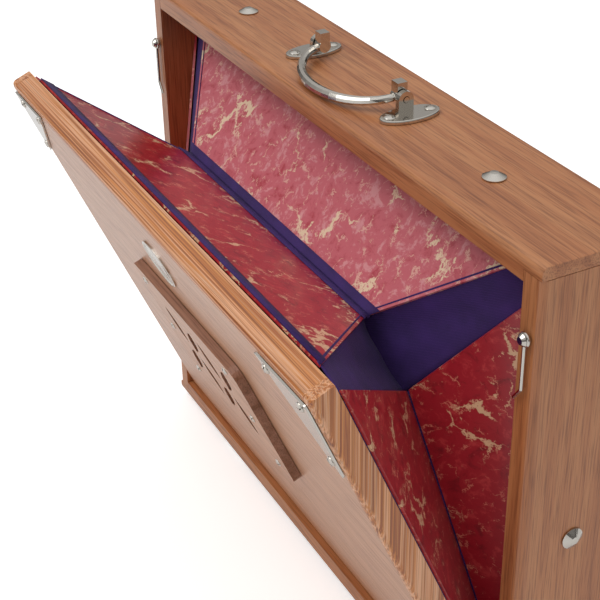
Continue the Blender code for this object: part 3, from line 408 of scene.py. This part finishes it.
# Ramps of the woods' figures: place and sRGB hex colour of each stop.
VENEER = ((0.25, "bd8058"), (0.45, "cb9068"), (0.6, "d29a74"), (0.8, "c28860"))
STRIPES = ((0.30, "8a4a30"), (0.40, "c87838"), (0.48, "f0b890"), (0.54, "d88a45"), (0.62, "a85c34"),
           (0.72, "e8a45c"))
BEECH = ((0.3, "a9794f"), (0.7, "c99b6c"))
WALNUT = ((0.28, "9a5a34"), (0.45, "b87446"), (0.58, "c68555"), (0.75, "a4653c"))


def piece(name: str, bm: bmesh.types.BMesh, finish: bpy.types.Material, body: str) -> bpy.types.Object:
    """Turn a bmesh into a finished piece that rides on a body.

    Args:
        name: Name of the piece.
        bm: Its shape, in the row frame.
        finish: Material to dress it with.
        body: Body that carries it, or an empty string for a piece that no body carries.

    Returns:
        The new object.
    """
    bmesh.ops.recalc_face_normals(bm, faces=bm.faces)
    mesh = bpy.data.meshes.new(name)
    bm.to_mesh(mesh)
    bm.free()
    mesh.materials.append(finish)
    mesh.shade_smooth()
    mesh.set_sharp_from_angle(angle=math.radians(38))
    obj = bpy.data.objects.new(name, mesh)
    bpy.context.scene.collection.objects.link(obj)
    if body:
        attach(obj, body)
    return obj


def add_solid(obj: bpy.types.Object, thickness: float) -> None:
    """Give a surface its real thickness.

    Args:
        obj: Object of the surface.
        thickness: Thickness, half of it on each side.
    """
    solid = obj.modifiers.new("thickness", "SOLIDIFY")
    solid.thickness = thickness
    solid.offset = 0.0


def grid(bm: bmesh.types.BMesh, rows: list[list[Vector]]) -> None:
    """Join rows of points into a surface.

    Args:
        bm: Mesh to add to.
        rows: Rows of equally many points.
    """
    lines = [[bm.verts.new(p) for p in row] for row in rows]
    for first, second in zip(lines, lines[1:]):
        for k in range(len(first) - 1):
            bm.faces.new((first[k], first[k + 1], second[k + 1], second[k]))


def lathe(bm: bmesh.types.BMesh, profile: list[Point2], base: Matrix, sides: int = 28,
          stretch: tuple[float, float] = (1.0, 1.0)) -> None:
    """Turn a profile round a frame's Z axis.

    Args:
        bm: Mesh to add to.
        profile: Radius and height of each point, from axis to axis.
        base: Frame of the turned shape.
        sides: Number of faces round it.
        stretch: Factors for its two widths.
    """
    rings = []
    for radius, height in profile:
        count = 1 if radius == 0 else sides
        rings.append([bm.verts.new(base @ Vector((stretch[0] * radius * math.cos(2 * math.pi * k / sides),
                                                  stretch[1] * radius * math.sin(2 * math.pi * k / sides), height)))
                      for k in range(count)])
    for first, second in zip(rings, rings[1:]):
        for k in range(sides):
            corners = [first[k % len(first)], first[(k + 1) % len(first)],
                       second[(k + 1) % len(second)], second[k % len(second)]]
            bm.faces.new(list(dict.fromkeys(corners)))


@dataclass
class PumpFrame:
    """The pump board's own upright frame, turned about its hinge to its place at rest."""

    origin: Vector
    angle: float

    @classmethod
    def from_record(cls) -> "PumpFrame":
        """Read the hinge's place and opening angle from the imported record."""
        joint = next(j for j in frame["record"]["behaviour"]["joints"] if j["name"] == "pump_hinge")
        return cls(Vector(joint["pos_m"]), math.radians(-joint["range_deg"][0]))

    @property
    def matrix(self) -> Matrix:
        """Matrix from the board's frame to the row frame."""
        return Matrix.Translation(self.origin) @ Matrix.Rotation(self.angle, 4, "X")

    def box(self, node: str) -> tuple[Vector, Vector]:
        """Return a node's lowest and highest corner in the board's frame."""
        back = self.matrix.inverted()
        points = [back @ v.co for v in frame["nodes"][node].data.vertices]
        return (Vector([min(p[i] for p in points) for i in range(3)]),
                Vector([max(p[i] for p in points) for i in range(3)]))

    def outward(self, x: float, y: float, u: float) -> Matrix:
        """Return a frame on the board's face, with Z pointing out of the face."""
        return self.matrix @ Matrix.Translation((x, y, u)) @ Matrix.Rotation(math.pi / 2, 4, "X")


@dataclass
class Screws:
    """Slotted raised-head screws in a row of places.

    Attributes:
        radius: Radius of the head.
        rise: Height of the head.
        slot_width: Width of the slot.
        first_turn: Turn of the first screw's slot, in radians.
        next_turn: Further turn of each next slot, as screws are never lined up.
    """

    radius: float = 2.8 * MM
    rise: float = 1.1 * MM
    slot_width: float = 0.7 * MM
    first_turn: float = 0.4
    next_turn: float = 0.9

    def build(self, name: str, places: list[Matrix], finish: bpy.types.Material,
              body: str) -> bpy.types.Object:
        """Build one object with a screw at each place."""
        bm = bmesh.new()
        for i, place in enumerate(places):
            turned = place @ Matrix.Rotation(self.next_turn * i + self.first_turn, 4, "Z")
            lathe(bm, [(0, -0.2 * MM), (self.radius, -0.2 * MM), (self.radius, 0.2 * MM),
                       (0.75 * self.radius, 0.7 * self.rise), (0.4 * self.radius, 0.95 * self.rise),
                       (0, self.rise)], turned)
            deep = Matrix.Diagonal((2 * self.radius * 0.86, self.slot_width, 0.12 * MM, 1))
            bmesh.ops.create_cube(bm, size=1, matrix=turned @ Matrix.Translation((0, 0, self.rise)) @ deep)
        return piece(name, bm, finish, body)


@dataclass
class NamePlate:
    """Bare oval plate near the board's top edge, with a rolled rim."""

    half_width: float = 16.5 * MM
    half_height: float = 13 * MM
    below_top: float = 36.6 * MM
    rise: float = 1.2 * MM

    def build(self, pump: PumpFrame, finish: bpy.types.Material) -> bpy.types.Object:
        """Build the plate on the panel's face."""
        face, top = pump.box("pump_panel")[0].y, pump.box("pump_lipping")[1].z
        bm = bmesh.new()
        profile = [(0, 0.05 * MM), (1, 0.05 * MM), (1, 0.7 * self.rise), (0.96, self.rise), (0.92, self.rise),
                   (0.88, 0.6 * self.rise), (0.5, 0.65 * self.rise), (0, 0.7 * self.rise)]
        lathe(bm, profile, pump.outward(0, face, top - self.below_top), 48, (self.half_width, self.half_height))
        return piece("name_plate", bm, finish, "pump")


@dataclass
class Bellows:
    """Covered cards and cloth of the pump bellows: gussets, fold tapes, edge tapes and bottom strip.

    Attributes:
        pump: Frame of the pump board.
        top_width: Width of a top card, from its hinge edge to the valley.
        top_half: Half the length of a top card's hinge edge.
        fold_angle: Slant of the side folds from upright.
        side_top: Height of a side fold's upper end above the point where the folds meet.
        side_bottom: Height of a side tape's lower end above that point.
        side_rise: How far a side card climbs from its fold to its hinge edge.
        card_bottom: Height of a side card's lower end above that point.
        card_half: Half a covered card's thickness.
        hinge_gap: Gap between a card and its hinge line.
        fold_gap: Gap between a card and its fold line.
        tape: Part of the valley tape that lies on each card.
        side_tape: Part of a side tape that lies on each card.
        edge_tape: Reach of an edge tape from the card's hinge line.
        edge_gap: Gap between an edge tape and the hinge line.
        skin: Height of the cloth's middle over a card's middle.
        cloth: Thickness of the cloth.
        sag: Depth of a gusset's inward fold.
        lap: Part of a gusset that lies on the cards.
        valley_near: Distance of the valley tape's turn from the fold line.
        valley_dip: Height of the valley tape at its turn.
        valley_over: Reach of the valley tape past the ends of the cards' edges.
        side_near: Distance of a side tape's turn from the fold line.
        side_dip: Height of a side tape at its turn.
        valley_lap: What the valley tape's cut length has beyond the valley.
        valley_cut: Cut width of the valley tape.
        side_cut: Cut size of a side tape.
        gusset_cut: Cut size of a gusset.
        strip_cut: Cut width of the bottom strip; not used.
    """

    pump: PumpFrame
    top_width: float = 72 * MM
    top_half: float = 172 * MM
    fold_angle: float = math.radians(19.3)
    side_top: float = 202 * MM
    side_bottom: float = 30 * MM
    side_rise: float = 80 * MM
    card_bottom: float = 44 * MM
    card_half: float = 0.7 * MM
    hinge_gap: float = 0.6 * MM
    fold_gap: float = 1.8 * MM
    tape: float = 4.5 * MM
    side_tape: float = 8 * MM
    edge_tape: float = 6.5 * MM
    edge_gap: float = 0.4 * MM
    skin: float = 1.05 * MM
    cloth: float = 0.5 * MM
    sag: float = 7 * MM
    lap: float = 3 * MM
    valley_near: float = 1 * MM
    valley_dip: float = 0.4 * MM
    valley_over: float = 1 * MM
    side_near: float = 0.8 * MM
    side_dip: float = 0.5 * MM
    valley_lap: float = 12 * MM
    valley_cut: float = 16 * MM
    side_cut: tuple[float, float] = (26 * MM, 190 * MM)
    gusset_cut: tuple[float, float] = (52 * MM, 240 * MM)
    strip_cut: float = 48 * MM

    def joint(self, name: str) -> tuple[Vector, float]:
        """Return a rib joint's place and the size of its swing."""
        found = next(j for j in frame["record"]["behaviour"]["joints"] if j["name"] == name)
        return Vector(found["pos_m"]), math.radians(max(abs(v) for v in found["range_deg"]))

    def top_point(self, outer: bool, s: float, rise: float) -> tuple[float, float]:
        """Find a point on a top card, in the plane across its hinge.

        Args:
            outer: Whether the card hangs from the pump board.
            s: Distance from the hinge edge.
            rise: Height over the card's middle, on the side that shows.

        Returns:
            The point's y and z.
        """
        place, swing = self.joint("rib_top_outer_fold" if outer else "rib_top_inner_fold")
        turn = swing + self.pump.angle if outer else -swing
        along = Vector((math.sin(turn), -math.cos(turn)))
        up = Vector((math.cos(turn), math.sin(turn))) * (1 if outer else -1)
        point = Vector((place.y, place.z)) + along * s + up * rise
        return point.x, point.y

    def side_point(self, side: int, outer: bool, s: float, h: float, rise: float) -> Vector:
        """Find a point on a side card.

        Args:
            side: 1 for the right side and -1 for the left.
            outer: Whether the card hangs from the pump board.
            s: Distance from the hinge edge.
            h: Height above the point where the folds meet.
            rise: Height over the card's middle, towards the inside.

        Returns:
            The point.
        """
        part = "outer" if outer else "inner"
        place, swing = self.joint("rib_%s_%s_fold" % ("right" if side > 0 else "left", part))
        sign = 1 if outer else -1
        flat = Vector((-side * (s * math.cos(swing) - rise * math.sin(swing)),
                       sign * (s * math.sin(swing) + rise * math.cos(swing)), h))
        if outer:
            return place + Matrix.Rotation(self.pump.angle, 3, "X") @ flat
        return place + flat

    def declare(self, obj: bpy.types.Object, held: str, rests: tuple[str, ...], width: float,
                length: float) -> None:
        """Give a sheet its thickness and bake its place into the mesh.

        Args:
            obj: The sheet, still without thickness.
            held: Not used.
            rests: Not used.
            width: Not used.
            length: Not used.
        """
        add_solid(obj, self.cloth)
        self.start
        self.end
        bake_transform(obj)

    @property
    def start(self) -> tuple[float, float, float]:
        """Place where the cloth starts to leave the case."""
        return tuple(self.joint("rib_top_inner_fold")[0])

    @property
    def end(self) -> tuple[float, float, float]:
        """Place where the cloth reaches the pump board."""
        return tuple(self.joint("rib_top_outer_fold")[0])

    def build_valley(self, finish: bpy.types.Material) -> None:
        """Tape that bridges the valley between the two top ribs."""
        full, edge = self.top_width, self.top_width - self.fold_gap
        near = full - self.valley_near
        path = [(False, edge - self.tape, self.skin), (False, edge, self.skin), (False, near, self.valley_dip),
                (True, near, self.valley_dip), (True, edge, self.skin), (True, edge - self.tape, self.skin)]
        rows = []
        for i in range(VALLEY_STEPS + 1):
            share = 2 * i / VALLEY_STEPS - 1
            rows.append([Vector((share * (self.top_half - min(s, edge) + self.valley_over),
                                 *self.top_point(outer, s, rise))) for outer, s, rise in path])
        bm = bmesh.new()
        grid(bm, rows)
        obj = piece("valley_tape", bm, finish, "")
        length = 2 * self.top_half - 2 * full + self.valley_lap
        self.declare(obj, "folded", ("rib_top_inner", "rib_top_outer"), self.valley_cut, length)

    def build_side_tapes(self, finish: bpy.types.Material) -> None:
        """Tapes down the slanted folds between the side ribs."""
        slope = math.tan(self.fold_angle)
        for side, label in ((-1, "left"), (1, "right")):
            rows = []
            for i in range(FOLD_STEPS + 1):
                h = self.side_bottom + (self.side_top - self.side_bottom) * i / FOLD_STEPS
                fold = h * slope
                edge = fold - self.fold_gap
                low = edge - self.side_tape
                near = fold - self.side_near
                rows.append([self.side_point(side, outer, s, h, rise) for outer, s, rise in (
                    (False, low, -self.skin), (False, edge, -self.skin), (False, near, -self.side_dip),
                    (True, near, -self.side_dip), (True, edge, -self.skin), (True, low, -self.skin))])
            bm = bmesh.new()
            grid(bm, rows)
            obj = piece("side_tape_" + label, bm, finish, "")
            self.declare(obj, "folded", ("rib_%s_inner" % label, "rib_%s_outer" % label), *self.side_cut)

    def build_gussets(self, finish: bpy.types.Material) -> None:
        """Corner cloth that hangs in a soft inward fold between the top ribs and the side ribs."""
        slope = math.tan(self.fold_angle)
        for side, label in ((-1, "left"), (1, "right")):
            rows = []
            for i in range(2 * GUSSET_STEPS + 1):
                u = i / GUSSET_STEPS - 1
                share = 1 - abs(u)
                s = share * self.top_width
                y, z = self.top_point(u > 0, s, self.skin)
                top = Vector((side * (self.top_half - s - self.lap), y, z))
                low = self.side_point(side, u > 0, share * self.side_top * slope,
                                      self.side_top + (1 - share) * self.side_rise - self.lap, -self.skin)
                row = []
                for k in range(GUSSET_ROWS + 1):
                    r = k / GUSSET_ROWS
                    dip = self.sag * math.sin(math.pi * r) * share * (1.0 + 0.25 * math.sin(9 * r + 7 * u))
                    row.append(top.lerp(low, r) + Vector((-side * dip, 0, -0.3 * dip)))
                rows.append(row)
            bm = bmesh.new()
            grid(bm, rows)
            bmesh.ops.remove_doubles(bm, verts=bm.verts, dist=0.02 * MM)
            bmesh.ops.dissolve_degenerate(bm, edges=bm.edges, dist=0.01 * MM)
            obj = piece("gusset_cloth_" + label, bm, finish, "")
            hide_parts("gusset_" + label)
            self.declare(obj, "folded", ("rib_%s_inner" % label, "rib_top_inner"), *self.gusset_cut)

    def build_strip(self, finish: bpy.types.Material) -> None:
        """Strip that closes the gap along the bottom, over the hinges."""
        low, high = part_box("bottom_strip")
        wall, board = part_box("partition")[0].y, self.pump.matrix @ Vector((0, -1.4 * MM, 21 * MM))
        hinge = self.pump.origin.y
        path = [(wall - 0.8 * MM, low.z + 14 * MM), (wall - 0.8 * MM, low.z + 6 * MM),
                (wall - 2.5 * MM, low.z + 1.2 * MM), (hinge, low.z + 0.6 * MM),
                (hinge - 3.2 * MM, low.z + 4.6 * MM), (board.y, board.z)]
        rows = [[Vector((low.x + (high.x - low.x) * i / FOLD_STEPS, y, z)) for y, z in path]
                for i in range(FOLD_STEPS + 1)]
        bm = bmesh.new()
        grid(bm, rows)
        obj = piece("bottom_cloth", bm, finish, "")
        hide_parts("bottom_strip")
        add_solid(obj, self.cloth)
        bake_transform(obj)

    def card(self, name: str, faces: list[list[Vector]], finish: bpy.types.Material) -> None:
        """Build a covered card in place of the plain rib.

        Args:
            name: Name of the rib.
            faces: Corners of the card's two faces, in the same order.
            finish: Material to dress it with.
        """
        bm = bmesh.new()
        rings = [[bm.verts.new(p) for p in face] for face in faces]
        for ring in rings:
            bm.faces.new(ring)
        count = len(rings[0])
        for k in range(count):
            bm.faces.new((rings[0][k], rings[0][(k + 1) % count], rings[1][(k + 1) % count], rings[1][k]))
        obj = piece(name.replace("rib", "card"), bm, finish, name)
        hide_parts(name)

    def build_cards(self, red: bpy.types.Material, pale: bpy.types.Material) -> None:
        """Cards that reach nearly to their folds; the inner top one gets the paler copy of the paper, a painted
        sheen where it catches the light.
        """
        rises = (-self.card_half, self.card_half)
        near, far = self.hinge_gap, self.top_width - self.fold_gap
        for outer, label in ((False, "inner"), (True, "outer")):
            faces = []
            for rise in rises:
                face = []
                for s, side in ((near, 1), (far, 1), (far, -1), (near, -1)):
                    face.append(Vector((side * (self.top_half - s), *self.top_point(outer, s, rise))))
                faces.append(face)
            # The inner top card takes the paler copy of the paper, a painted sheen.
            self.card("rib_top_" + label, faces, red if outer else pale)
        slope, peak = math.tan(self.fold_angle), self.side_top + self.side_rise
        fall = self.side_rise / (self.side_top * slope)
        corner = (peak + fall * self.fold_gap) / (1 + fall * slope)
        for side, label in ((-1, "left"), (1, "right")):
            for outer, part in ((False, "inner"), (True, "outer")):
                outline = [(near, self.card_bottom), (self.card_bottom * slope - self.fold_gap, self.card_bottom),
                           (corner * slope - self.fold_gap, corner), (near, peak)]
                faces = [[self.side_point(side, outer, s, h, rise) for s, h in outline] for rise in rises]
                self.card("rib_%s_%s" % (label, part), faces, red)

    def strip(self, name: str, rows: list[list[Vector]], finish: bpy.types.Material, body: str) -> None:
        """Build a flat tape that is glued along a card's edge.

        Args:
            name: Name of the tape.
            rows: Points across the tape, row by row along it.
            finish: Material to dress it with.
            body: Body of the card that carries it.
        """
        bm = bmesh.new()
        grid(bm, rows)
        obj = piece(name, bm, finish, body)
        add_solid(obj, self.cloth)

    def build_edges(self, finish: bpy.types.Material) -> None:
        """Tapes along the hinge edges of the cards."""
        for outer, part in ((False, "inner"), (True, "outer")):
            rows = [[Vector((share * (self.top_half - s), *self.top_point(outer, s, self.skin)))
                     for s in (self.edge_gap, self.edge_tape)] for share in (-1, -0.5, 0, 0.5, 1)]
            self.strip("edge_tape_top_" + part, rows, finish, "rib_top_" + part)
            for side, label in ((-1, "left"), (1, "right")):
                low, high = self.card_bottom, self.side_top + self.side_rise - self.edge_tape
                rows = [[self.side_point(side, outer, s, low + (high - low) * i / EDGE_STEPS, -self.skin)
                         for s in (self.edge_gap, self.edge_tape)] for i in range(EDGE_STEPS + 1)]
                self.strip("edge_tape_%s_%s" % (label, part), rows, finish, "rib_%s_%s" % (label, part))

    def build(self, cloth: bpy.types.Material, leather: bpy.types.Material, red: bpy.types.Material,
              pale: bpy.types.Material) -> None:
        """Build every piece of the bellows."""
        self.build_cards(red, pale)
        self.build_edges(cloth)
        self.build_valley(cloth)
        self.build_side_tapes(cloth)
        self.build_gussets(cloth)
        self.build_strip(leather)


@dataclass
class ReservoirSkin:
    """Cloth walls of the reservoir, folded flat behind the partition."""

    cloth: float = 0.6 * MM

    def build(self, finish: bpy.types.Material) -> None:
        """Build the folded wall as a zigzag band round the ring."""
        low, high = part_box("reservoir_cloth")
        rows = []
        for y_share, inset in ((0, 0), (0.5, 8 * MM), (1, 0)):
            y = low.y + (high.y - low.y) * y_share
            left, right, bottom, top = low.x + inset, high.x - inset, low.z + inset, high.z - inset
            corners = [(left, bottom), (right, bottom), (right, top), (left, top), (left, bottom)]
            rows.append([Vector((x, y, z)) for x, z in corners])
        bm = bmesh.new()
        grid(bm, rows)
        bmesh.ops.remove_doubles(bm, verts=bm.verts, dist=0.02 * MM)
        obj = piece("reservoir_walls", bm, finish, "case")
        add_solid(obj, self.cloth)
        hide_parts("reservoir_cloth")


@dataclass
class Studio:
    """White studio with one large soft light, seen by the photograph's camera.

    Attributes:
        lens: Focal length in millimetres, fitted to the photograph.
        place: Camera's place from the case's middle, front and underside.
        right: Direction to the picture's right.
        up: Direction to the picture's top.
        key_place: Place of the soft key light, which points at the origin.
        key_size: Diameter of the key light in metres.
        key_power: Power of the key light in watts.
        room: Height and colour of the room's tones, as reflections see them.
        floor_size: Half the floor's width in metres.
        floor_glow: Light that the floor adds where the camera sees it, to stay white.
    """

    lens: float = 83.8
    place: tuple[float, float, float] = (0.5782, -0.3012, 0.5755)
    right: tuple[float, float, float] = (0.4656, 0.8848, -0.0184)
    up: tuple[float, float, float] = (-0.4519, 0.2555, 0.8547)
    key_place: tuple[float, float, float] = (-0.4, -1.2, 1.9)
    key_size: float = 1.6
    key_power: float = 13
    room: tuple[tuple[float, str], ...] = ((0.0, "4a4644"), (0.35, "a8a6a4"), (1.0, "f4f4f4"))
    floor_size: float = 4.0
    floor_glow: float = 0.45

    def build_camera(self) -> None:
        """Place the camera from its pose beside the case's front lower edge."""
        data = bpy.data.cameras.new("camera")
        data.lens = self.lens
        data.clip_start = 0.01
        obj = bpy.data.objects.new("camera", data)
        bpy.context.scene.collection.objects.link(obj)
        right, up = Vector(self.right).normalized(), Vector(self.up).normalized()
        back = right.cross(up)
        turn = Matrix((right, up, back)).transposed().to_4x4()
        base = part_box("case_bottom")[0]
        obj.matrix_world = Matrix.Translation(Vector(self.place) + Vector((0, base.y, base.z))) @ turn
        bpy.context.scene.camera = obj

    def build_light(self) -> None:
        """Add the soft key light and a world that the camera sees as white."""
        data = bpy.data.lights.new("key", "AREA")
        data.shape = "DISK"
        data.size = self.key_size
        data.energy = self.key_power
        obj = bpy.data.objects.new("key", data)
        bpy.context.scene.collection.objects.link(obj)
        place = Vector(self.key_place)
        aim = (-place).to_track_quat("-Z", "Y").to_matrix().to_4x4()
        obj.matrix_world = Matrix.Translation(place) @ aim
        world = bpy.data.worlds.new("studio")
        bpy.context.scene.world = world
        world.use_nodes = True
        tree = world.node_tree
        rays = add_node(tree, "LightPath")
        straight = add_node(tree, "Math", {0: rays.outputs["Is Camera Ray"],
                                           1: rays.outputs["Is Transmission Ray"]},
                            operation="MAXIMUM").outputs[0]
        sky = add_node(tree, "TexCoord").outputs["Generated"]
        height = add_node(tree, "SeparateXYZ", {"Vector": sky}).outputs["Z"]
        room = ramp(tree, height, list(self.room))
        mix = add_node(tree, "Mix", {0: straight, 6: room, 7: srgb("ffffff")}, data_type="RGBA")
        tree.links.new(mix.outputs[2], tree.nodes["Background"].inputs["Color"])
        tree.nodes["Background"].inputs["Strength"].default_value = 1.0

    def build_floor(self) -> None:
        """Add a pale floor under the feet."""
        bm = bmesh.new()
        bmesh.ops.create_grid(bm, x_segments=1, y_segments=1, size=self.floor_size)
        mesh = bpy.data.meshes.new("floor")
        bm.to_mesh(mesh)
        bm.free()
        made, tree, shader = start_material("floor_paper")
        shader.inputs["Base Color"].default_value = srgb("ffffff")
        shader.inputs["Roughness"].default_value = 0.9
        shader.inputs["Emission Color"].default_value = srgb("ffffff")
        seen = add_node(tree, "LightPath").outputs["Is Camera Ray"]
        glow = add_node(tree, "Math", {0: seen, 1: self.floor_glow}, operation="MULTIPLY").outputs[0]
        tree.links.new(glow, shader.inputs["Emission Strength"])
        mesh.materials.append(made)
        obj = bpy.data.objects.new("floor", mesh)
        bpy.context.scene.collection.objects.link(obj)


def dress_nodes(finishes: dict[str, bpy.types.Material]) -> None:
    """Give each carried-over node the finish of its slot, with upright grain on the case sides.

    Args:
        finishes: Material for each slot, and the two case side nodes by name.
    """
    slots = {row["node"]: row["material_slot"] for row in frame["record"]["subparts"]}
    for name, obj in frame["nodes"].items():
        wanted = finishes.get(name) or finishes[slots[name]]
        if not obj.material_slots:
            obj.data.materials.append(wanted)
        for entry in obj.material_slots:
            entry.material = wanted


def make_finishes(facing: tuple[float, float, float]) -> dict[str, bpy.types.Material]:
    """Make the finish of each slot, and of the two case sides by name.

    Args:
        facing: Direction that the pump board's face looks in.

    Returns:
        Material for each slot or node name.
    """
    finishes = {
        # Walnut, planed and lacquered: warm brown with dark pores and a soft shine.
        "walnut": Wood("lacquered_walnut", WALNUT, 9 * MM).material(),
        # Sliced veneer, lacquered: paler, with a quiet figure.
        "pump_veneer": Wood("pale_veneer", VENEER, 7 * MM, roughness=0.36).material(),
        # Striped hardwood, moulded and lacquered: straight light and dark lines along each member.
        "striped_lipping": FramedWood("striped_hardwood", STRIPES, 2.6 * MM, roughness=0.34,
                                      stretch=0.007).material(),
        # Block with the board's veneer on its face and darker wood on its walls.
        "grille_walnut": FacedWood("veneered_block", VENEER, 7 * MM, facing=facing).material(),
        # Beech, sawn and sanded: matt and light, with no coat.
        "plain_wood": Wood("bare_beech", BEECH, 8 * MM, roughness=0.55, coat=0.0).material(),
        # Nickel plate, polished: clear reflections of the bright room.
        "nickel": Metal("polished_nickel", "cfcac2", 0.12).material(),
        # Steel, drawn: duller and greyer.
        "steel": Metal("drawn_steel", "b4b4b6", 0.3).material(),
        # Brass, rolled: yellow with blurred reflections.
        "brass": Metal("rolled_brass", "c9a55c", 0.25).material(),
        # Marbled paper, glazed: crimson with cream veins and a thin gloss.
        "marbled_card": MarbledCard("marbled_paper", ("8a1020", "b01c2c", "c83c40"),
                                    ("ecc49a", "d8806a")).material(),
        # Bookbinding cloth, woven and dyed: deep purple and matt.
        "bellows_cloth": Cloth("purple_book_cloth", "4c2880", "240f46", 0.5 * MM, 0.05).material(),
        # Suede, napped: brown and matt, with a soft sheen.
        "leather": Cloth("brown_suede", "7a5436", "4a3020", 0.5 * MM, 0.3).material(),
    }
    upright = Wood("walnut_side", WALNUT, 9 * MM, grain=Grain.UPRIGHT).material()
    finishes["case_left"] = finishes["case_right"] = upright
    return finishes


def build_screws(pump: PumpFrame, nickel: bpy.types.Material) -> None:
    """Put screw heads on the grille block, the corner plates and the handle's plates.

    Args:
        pump: Frame of the pump board.
        nickel: Finish of the screws.
    """
    low, high = pump.box("grille_block")
    heights = (low.z + GRILLE_SCREW_LOW, (low.z + high.z) / 2, high.z - GRILLE_SCREW_HIGH)
    places = [pump.outward(side * GRILLE_SCREW_X, low.y, u) for side in (-1, 1) for u in heights]
    Screws(GRILLE_SCREW_RADIUS).build("grille_screws", places, nickel, "pump")
    for side, label in ((-1, "left"), (1, "right")):
        low, high = pump.box("corner_plate_" + label)
        corner = high.x if side > 0 else low.x
        places = [pump.outward(corner - side * a, low.y, high.z - b) for a, b in CORNER_SCREWS]
        Screws(CORNER_SCREW_RADIUS).build("corner_screws_" + label, places, nickel, "pump")
        low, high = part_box("handle_plate_" + label)
        x = (low.x + high.x) / 2
        plate_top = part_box("case_top")[1].z + HANDLE_PLATE_RISE
        places = [Matrix.Translation((x, y, plate_top))
                  for y in (low.y + HANDLE_SCREW_INSET, high.y - HANDLE_SCREW_INSET)]
        Screws(HANDLE_SCREW_RADIUS).build("handle_screws_" + label, places, nickel, "case")


def main() -> None:
    """Dress the frame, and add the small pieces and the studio."""
    logging.basicConfig(level=logging.INFO)
    pump = PumpFrame.from_record()
    finishes = make_finishes(tuple(pump.matrix.to_3x3() @ Vector((0, -1, 0))))
    dress_nodes(finishes)

    nickel = finishes["nickel"]
    NamePlate().build(pump, nickel)
    build_screws(pump, nickel)
    # The inner top card gets a paler copy of the marbled paper: painted sheen, for the light that its glaze
    # catches.
    pale = MarbledCard("painted_sheen_marbled_paper", ("b83848", "cf6470", "e0969a"), ("f2d6b4", "e8b0a0")).material()
    Bellows(pump).build(finishes["bellows_cloth"], finishes["leather"], finishes["marbled_card"], pale)
    ReservoirSkin().build(finishes["bellows_cloth"])

    studio = Studio()
    studio.build_camera()
    studio.build_light()
    studio.build_floor()
    bpy.context.scene.view_settings.view_transform = "Standard"
    LOG.info("dressed %d nodes", len(frame["nodes"]))


if __name__ == "__main__":
    main()
